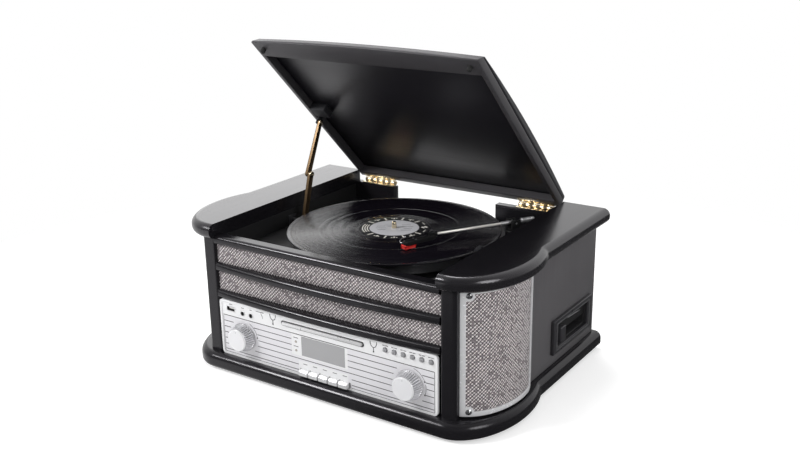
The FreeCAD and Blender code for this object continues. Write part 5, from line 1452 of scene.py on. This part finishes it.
    def build_buttons(self) -> None:
        """Make the six domed buttons and the rings round them."""
        rings = Maker()
        ring = ((3.0, -0.1), (3.7, -0.1), (3.7, 0.15), (3.5, 0.3), (3.2, 0.25), (3.0, 0.1), (3.0, -0.1))
        for number in range(1, self.buttons + 1):
            name = f"round_button_{number}"
            middle, (low, high) = centre_of(name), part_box(name)
            long = (high.y - low.y) / MM
            profile = ((0, -long), (3.8, -long), (3.8, 1.5 - long), (2.6, 1.5 - long), (2.6, -0.9), (2.4, -0.35),
                       (1.7, -0.05), (0, 0))
            at = spot(middle.x, low.y / MM, middle.z, Turn.FRONT)
            lathed(f"{name}_domed", profile, at, 40, f"button_{number}", Finishes.BUTTON, name)
            rings.turned(ring, spot(middle.x, self.face_y, middle.z, Turn.FRONT), 40)
        fitted(rings.done("button_rings"), "cabinet", Finishes.DARK_STEEL)

    def build_keys(self) -> None:
        """Make the five piano keys under the display, and dark bars beside them that are painted shade in the gaps.
        """
        tall, wide = self.key_tall, self.key_wide
        for number in range(1, self.keys + 1):
            name = f"function_key_{number}"
            x, (low, high) = centre_of(name).x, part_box(name)
            front, back, foot = low.y / MM + self.key_shorter, high.y / MM, low.z / MM + self.key_lift
            depth, stop = back - front, high.z / MM - foot
            section = ((0, 0), (0, tall - 3.0), (2.4, tall - 0.5), (depth, tall), (depth, 0))
            key = Maker().prism(section, wide, spot(x - wide / 2, front, foot) @ LAID, 0.55, 3)
            key.block((wide, 1.5, stop), spot(x, back - 0.75, foot + stop / 2), 0.2, 1)
            fitted(key.done(f"{name}_cap"), f"key_{number}", Finishes.SILVER_KEY, name)
        # Dark bars on the plate between and beside the keys: painted shade of the gaps.
        gaps = Maker()
        first, last = centre_of("function_key_1").x, centre_of(f"function_key_{self.keys}").x
        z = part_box("function_key_1")[0].z / MM + 4.8
        for number in range(self.keys + 1):
            x = first + (last - first) / (self.keys - 1) * (number - 0.5)
            gaps.block((1.5, 0.3, 8.0), spot(x, self.face_y - 0.02, z), 0.08, 1)
        fitted(gaps.done("key_gap_shade"), "cabinet", Finishes.SOCKET_DARK_AND_GAP_SHADE)

    def build_slot(self) -> None:
        """Make the disc tray with its rounded face, a dark ring round it that is painted shade of the gap, and a pale
        lip.
        """
        low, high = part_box("cd_tray")
        z, front, back = (low.z + high.z) / 2 / MM, low.y / MM, high.y / MM
        tray = Maker().prism(stadium(132.4, 4.4), 3.2, spot(0, front + 3.0, z, Turn.FRONT), 0.5, 3)
        long = back - front
        bed = [(-65, 0), (65, 0), (65, long - 5), (62, long - 2), (-62, long - 2), (-65, long - 5)]
        tray.prism(bed, 2.4, spot(0, front + 2.0, z - 2.2), 0.3)
        for reach, wide in ((62.0, 2.0), (41.5, 1.4), (9.0, 4.0)):
            inner = reach - wide
            ring = ((inner, 0), (reach, 0), (reach, 1.2), (reach - 0.4, 1.6), (inner, 1.6), (inner, 0))
            tray.turned(ring, spot(0, front + 74.0, z + 0.1), 96)
        fitted(tray.done("disc_tray"), "tray", Finishes.SILVER_KEY, "cd_tray")
        at, edge = spot(0, self.face_y + 0.15, z, Turn.FRONT), stadium(137.0, 7.6)
        # A dark ring round the tray: painted shade of the gap between tray and plate.
        seam = Maker().ringed(edge, stadium(132.8, 4.8), 0.3, at)
        fitted(seam.done("tray_seam_shade"), "cabinet", Finishes.PLATE_LINE_AND_SHADE)
        lip = Maker().ringed(stadium(138.6, 9.0), edge, 0.35, at)
        fitted(lip.done("tray_lip"), "cabinet", Finishes.PLATE)

    def build_sockets(self) -> None:
        """Make the rims of the front sockets and the contact in the wide one."""
        rims = Maker()
        nut = ((2.9, -0.2), (4.4, -0.2), (4.4, 0.4), (4.1, 0.7), (3.2, 0.7), (2.9, 0.4), (2.9, -0.2))
        for x in self.jack_x:
            rims.turned(nut, spot(x, self.face_y, self.jack_z, Turn.FRONT), 48)
        at = spot(-159.0, self.face_y, 96.0, Turn.FRONT)
        rims.ringed(rectangle(16.4, 8.4), rectangle(14.0, 6.0), 0.5, at)
        fitted(rims.done("socket_rims"), "cabinet", Finishes.SILVER_KEY)
        tongue = Maker().block((9.6, 7.0, 1.9), spot(-157.6, self.face_y + 4.0, 97.0), 0.3, 2)
        fitted(tongue.done("usb_contact"), "cabinet", Finishes.SOCKET_WHITE)

    def dress(self) -> None:
        """Finish the plate and what stays as it was turned out."""
        dress_nodes(Finishes.PLATE, "control_plate")
        dress_nodes(Finishes.DISPLAY, "display_window")
        dress_nodes(Finishes.SOCKET_DARK_AND_GAP_SHADE, "front_sockets")
        dress_nodes(Finishes.BLACK_PLASTIC, "cd_loader")


@dataclass
class CassetteSide(Assembly):
    """The cassette opening in the right side: bezel, deck, push block, bead and lever."""

    face_x: float = 233.0
    middle_y: float = 261.0 + FRONT_Y
    middle_z: float = 67.0
    bead_outer: tuple[float, float] = (108.0, 40.0)
    bead_inner: tuple[float, float] = (104.544, 37.2)
    lever_wire: tuple = ((-1.2, -14, 12.6), (-0.6, -6, 11.4), (-0.6, 26, 9.4), (-1.2, 34, 9.0))

    def at(self, x: float = 0, y: float = 0, z: float = 0) -> Matrix:
        """Return a place counted from the middle of the opening."""
        return spot(self.face_x + x, self.middle_y + y, self.middle_z + z)

    def build(self) -> None:
        """Make the bezel, the block, the bead and the lever."""
        eased("cassette_bezel", "cabinet", Finishes.BEZEL, 0.9)
        eased("cassette_deck", "cabinet", Finishes.DECK_BLACK, 0.4)
        eased("cassette_button", "cassette_push", Finishes.BEZEL, 1.2)
        at = self.at(4.9) @ Turn.RIGHT.value @ spin(90)
        bead = Maker().ringed(rectangle(*self.bead_outer), rectangle(*self.bead_inner), 0.7, at)
        fitted(bead.done("cassette_bead"), "cabinet", Finishes.GREY_PLASTIC)
        lever = Maker().block((2.6, 62, 4.0), self.at(-2.4, 13, 13.6), 0.8, 3)
        lever.tube(self.lever_wire, 1.2, self.at(), 12)
        fitted(lever.done("cassette_lever"), "cabinet", Finishes.DARK_STEEL)


@dataclass
class Lid(Assembly):
    """The open lid with its bumpers, hinges and stay."""

    angle: float = 44.5
    hinge_y: float = 339.5 + FRONT_Y
    hinge_z: float = 202.5
    bumper_place: tuple[float, float, float] = (162.0, -337.0, 3.5)
    bumper: tuple = ((0, -0.1), (3.5, -0.1), (3.5, 4.6), (3.1, 5.8), (2.2, 6.5), (0, 6.7))
    link_width: float = 9.0
    link_thick: float = 4.4
    end_steps: int = 12
    lower_x: float = -160.0
    lower_foot: tuple[float, float] = (-1.447, 178.0)
    lower_long: float = 71.2
    lower_angle: float = 74.1
    upper_x: float = -160.3
    upper_long: float = 79.6
    upper_angle: float = 245.3
    upper_taper: float = 0.7

    def at(self) -> Matrix:
        """Return the shut lid's frame at the hinge, turned open."""
        hinge = Matrix.Translation(Vector((0, self.hinge_y, self.hinge_z)) * MM)
        return hinge @ spin(-self.angle, "X") @ Matrix.Scale(MM, 4)

    @staticmethod
    def reached(start: tuple[float, float], long: float, angle: float) -> tuple[float, float]:
        """Return the y and z that a link reaches from a pivot."""
        turn = math.radians(angle)
        return start[0] + long * math.cos(turn), start[1] + long * math.sin(turn)

    def link(self, start: tuple[float, float], x: float, long: float, angle: float, taper: float = 1.0) -> Maker:
        """Make one link: a flat bar with round ends and eased edges.

        Args:
            start: y and z of its first pivot.
            x: its left side.
            long, angle: its length and its direction in the plane of the links.
            taper: its width at the first pivot, as a share.

        Returns:
            The maker with its faces.
        """
        half, outline = self.link_width / 2, []
        for end, share in ((1, 1.0), (0, taper)):
            for step in range(self.end_steps + 1):
                turn = math.pi * (step / self.end_steps - 0.5) + (0 if end else math.pi)
                outline.append((end * long + half * share * math.cos(turn), half * share * math.sin(turn)))
        return Maker().prism(outline, self.link_thick, spot(x, *start) @ spin(angle, "X") @ LAID, 0.7, 3)

    @staticmethod
    def rivet(maker: Maker, place: tuple[float, float], x: float, turn: Turn, radius: float) -> None:
        """Add one domed rivet head at a side of a link."""
        head = ((0, -0.4), (radius, -0.4), (radius, 0.6), (radius - 0.4, 1.4), (radius * 0.55, 2.0), (0, 2.2))
        maker.turned(head, spot(x, *place, turn), 32)

    def build_stay(self) -> None:
        """Make the two links with brass rivets, and the pieces that hold them."""
        elbow = self.reached(self.lower_foot, self.lower_long, self.lower_angle)
        top = self.reached(elbow, -self.upper_long, self.upper_angle)
        front, rear = self.lower_x + self.link_thick, self.upper_x - self.link_thick
        lower = self.link(self.lower_foot, self.lower_x, self.lower_long, self.lower_angle)
        fitted(lower.done("stay_lower_bar"), "stay_lower", Finishes.BRONZE, "stay_lower_link")
        upper = self.link(top, rear, self.upper_long, self.upper_angle, self.upper_taper)
        fitted(upper.done("stay_upper_bar"), "stay_upper", Finishes.BRONZE, "stay_upper_link")
        heads = Maker()
        self.rivet(heads, elbow, front, Turn.RIGHT, 4.4)
        self.rivet(heads, self.lower_foot, front, Turn.RIGHT, 3.0)
        fitted(heads.done("stay_lower_rivets"), "stay_lower", Finishes.BRASS)
        heads = Maker()
        self.rivet(heads, elbow, rear, Turn.LEFT, 3.6)
        self.rivet(heads, top, self.upper_x, Turn.RIGHT, 3.4)
        fitted(heads.done("stay_upper_rivets"), "stay_upper", Finishes.BRASS)
        eased("stay_block", "lid", Finishes.BLACK_PLASTIC, 0.5)
        eased("stay_bracket", "cabinet", Finishes.BLACK_PLASTIC, 0.35)

    def build(self) -> None:
        """Make the boards, bumpers, hinge leaves and stay."""
        # The lid frame's lighter lacquer is painted sheen.
        eased("lid_frame", "lid", Finishes.WOOD_LID_SHEEN, 0.9)
        eased("lid_panel", "lid", Finishes.WOOD_CEILING, 1.1)
        eased("hinge_rear_leaves", "cabinet", Finishes.BRASS, 0.25)
        eased("hinge_lid_leaves", "lid", Finishes.BRASS, 0.25)
        self.build_stay()
        bumpers = Maker()
        aside, ahead, up = self.bumper_place
        for side in (-1, 1):
            bumpers.turned(self.bumper, self.at() @ moved(side * aside, ahead, up) @ Turn.DOWN.value, 36)
        fitted(bumpers.done("rubber_bumpers"), "lid", Finishes.RUBBER, "lid_bumpers")


@dataclass
class Rear(Assembly):
    """The inlet and line sockets in the back, and the boards inside."""

    face_y: float = 342.0 + FRONT_Y
    socket_z: float = 76.0
    inlet_x: float = -140.0
    inlet_outer: tuple[float, float] = (26.0, 18.0)
    inlet_inner: tuple[float, float] = (22.36, 14.4)
    pin_aside: float = 4.0
    line_red_x: float = -68.0
    line_white_x: float = -52.0

    def build(self) -> None:
        """Make the inlet's mouth and pins, and the line sockets' rings."""
        eased("rear_sockets", "cabinet", Finishes.BLACK_PLASTIC, 0.5)
        inlet = Maker().ringed(rectangle(*self.inlet_outer), rectangle(*self.inlet_inner), 1.6,
                               spot(self.inlet_x, self.face_y, self.socket_z, Turn.REAR))
        for aside in (-self.pin_aside, self.pin_aside):
            inlet.tube([(0, -1, 0), (0, 1.2, 0)], 1.3, spot(self.inlet_x + aside, self.face_y, self.socket_z), 14)
        fitted(inlet.done("inlet_mouth"), "cabinet", Finishes.GREY_PLASTIC)
        ring = ((2.4, -0.5), (5.2, -0.5), (5.2, 2.6), (4.6, 3.2), (3.0, 3.2), (2.4, 2.8), (2.4, -0.5))
        sockets = ((self.line_red_x, Finishes.SOCKET_RED), (self.line_white_x, Finishes.SOCKET_WHITE))
        for number, (x, finish) in enumerate(sockets):
            at = spot(x, self.face_y, self.socket_z, Turn.REAR)
            lathed(f"line_socket_ring_{number + 1}", ring, at, 40, "cabinet", finish)

    def dress(self) -> None:
        """Finish the boards inside the cabinet."""
        dress_nodes(Finishes.CIRCUIT, "power_board")


@dataclass
class Studio:
    """The pale floor, soft lamps, white surroundings and camera of the picture."""

    camera: Point = (0.7641, -1.1126, 0.6315)
    yaw: float = 0.5938
    pitch: float = 0.3181
    roll: float = -0.0155
    lens: float = 45.45
    sensor: float = 36.0
    aim: Point = (0.0, 0.0, 0.2)
    floor_reach: float = 9.0
    floor_grey: Colour = (0.86, 0.86, 0.86)
    floor_glow: float = 0.46
    floor_dim: float = 0.08
    bright_way: tuple[float, float, float] = (-0.45, 0.85, 0.1)
    floor_way: tuple[float, float, float] = (-1.0, 0.25, 0.0)
    world_light: float = 0.5
    lamps: tuple = (
        ("key_lamp", (-1.5, -1.7, 1.7), 0.75, 42.0),
        ("fill_lamp", (2.1, -0.6, 1.2), 1.2, 18.0),
        ("top_lamp", (-0.45, 0.6, 2.0), 0.8, 16.0),
        ("back_lamp", (-1.75, 1.75, 0.95), 1.6, 6.0),
    )

    @staticmethod
    def link(name: str, data: bpy.types.ID) -> bpy.types.Object:
        """Put a floor, lamp or camera into the scene.

        Args:
            name: the object's name.
            data: what it holds.

        Returns:
            The object.
        """
        thing = bpy.data.objects.new(name, data)
        bpy.context.scene.collection.objects.link(thing)
        return thing

    def build_world(self) -> None:
        """Make the surroundings: white where the camera sees them, graded in gloss, soft where they only light."""
        shade = Shade("studio_white", world=True)
        way = shade.value("ShaderNodeTexCoord", None, None, "Generated")
        level = shade.ramp(shade.toward(way, self.bright_way) * 0.5 + 0.5, (0.3, 0.16), (0.85, 1.0))
        bright = shade.math("MAXIMUM", level, shade.ray("Camera"))
        shown = shade.value("ShaderNodeBackground", None, {"Color": bright})
        light = {"Color": (1.0, 1.0, 1.0), "Strength": self.world_light}
        lit = shade.value("ShaderNodeBackground", None, light)
        shade.add("ShaderNodeOutputWorld", None, {0: shade.blend(shade.seen(), lit, shown)})
        bpy.context.scene.world = shade.material

    def floor_material(self) -> bpy.types.Material:
        """Make the floor's material: it keeps the part's shadow and turns white far off.

        Returns:
            The material, which gloss sees as white on the left and dim on the right.
        """
        shade = Shade("studio_floor")
        far = shade.ramp(shade.length(shade.place()), (0.4, 0.0), (0.95, 1.0))
        pale = shade.value("ShaderNodeBsdfDiffuse", None, {"Color": self.floor_grey})
        near = shade.value("ShaderNodeAddShader", None, {0: pale, 1: shade.glow(self.floor_glow)})
        white, dim = shade.glow(1.0), shade.glow(self.floor_dim)
        left = shade.ramp(shade.toward(shade.place(), self.floor_way) * 0.5 + 0.5, (0.42, 0.0), (0.58, 1.0))
        shown = shade.blend(shade.ray("Glossy"), shade.blend(far, near, white), shade.blend(left, dim, white))
        shade.add("ShaderNodeOutputMaterial", None, {0: shade.blend(shade.seen(), pale, shown)})
        return shade.material

    def build_floor(self) -> None:
        """Make the pale floor."""
        mesh = bpy.data.meshes.new("studio_floor")
        corners = [(x, y, 0) for x, y in rectangle(2 * self.floor_reach, 2 * self.floor_reach)]
        mesh.from_pydata(corners, [], [(0, 1, 2, 3)])
        mesh.materials.append(self.floor_material())
        self.link("studio_floor", mesh)

    def build_lamps(self) -> None:
        """Make the soft lamps, each aimed at the part."""
        for name, place, size, power in self.lamps:
            data = bpy.data.lights.new(name, "AREA")
            data.shape = "DISK"
            data.size = size
            data.energy = power
            lamp = self.link(name, data)
            lamp.location = place
            lamp.rotation_euler = (Vector(self.aim) - Vector(place)).to_track_quat("-Z", "Y").to_euler()

    def build_camera(self) -> None:
        """Make the camera at the photograph's place and angle."""
        ahead = Vector((-math.sin(self.yaw) * math.cos(self.pitch), math.cos(self.yaw) * math.cos(self.pitch),
                        -math.sin(self.pitch)))
        level = Vector((math.cos(self.yaw), math.sin(self.yaw), 0))
        upright = level.cross(ahead)
        right = level * math.cos(self.roll) + upright * math.sin(self.roll)
        up = upright * math.cos(self.roll) - level * math.sin(self.roll)
        data = bpy.data.cameras.new("photo_camera")
        data.sensor_width = self.sensor
        data.sensor_fit = "HORIZONTAL"
        data.lens = self.lens
        camera = self.link("photo_camera", data)
        turn = Matrix((right, up, -ahead)).transposed().to_4x4()
        camera.matrix_world = Matrix.Translation(Vector(self.camera)) @ turn
        bpy.context.scene.camera = camera

    def build(self) -> None:
        """Make the whole studio."""
        self.build_world()
        self.build_floor()
        self.build_lamps()
        self.build_camera()
        bpy.context.scene.view_settings.view_transform = "Standard"


def write_sizes() -> None:
    bpy.context.view_layer.update()


def main() -> None:
    """Build and dress each sub-assembly, then the studio."""
    logging.basicConfig(level=logging.INFO, format="%(message)s")
    for assembly in (Cabinet(), Speakers(), Turntable(), Tonearm(), Front(), CassetteSide(), Lid(), Rear()):
        assembly.build()
        assembly.dress()
        LOG.info("%s is built", type(assembly).__name__)
    Studio().build()
    write_sizes()


if __name__ == "__main__":
    main()
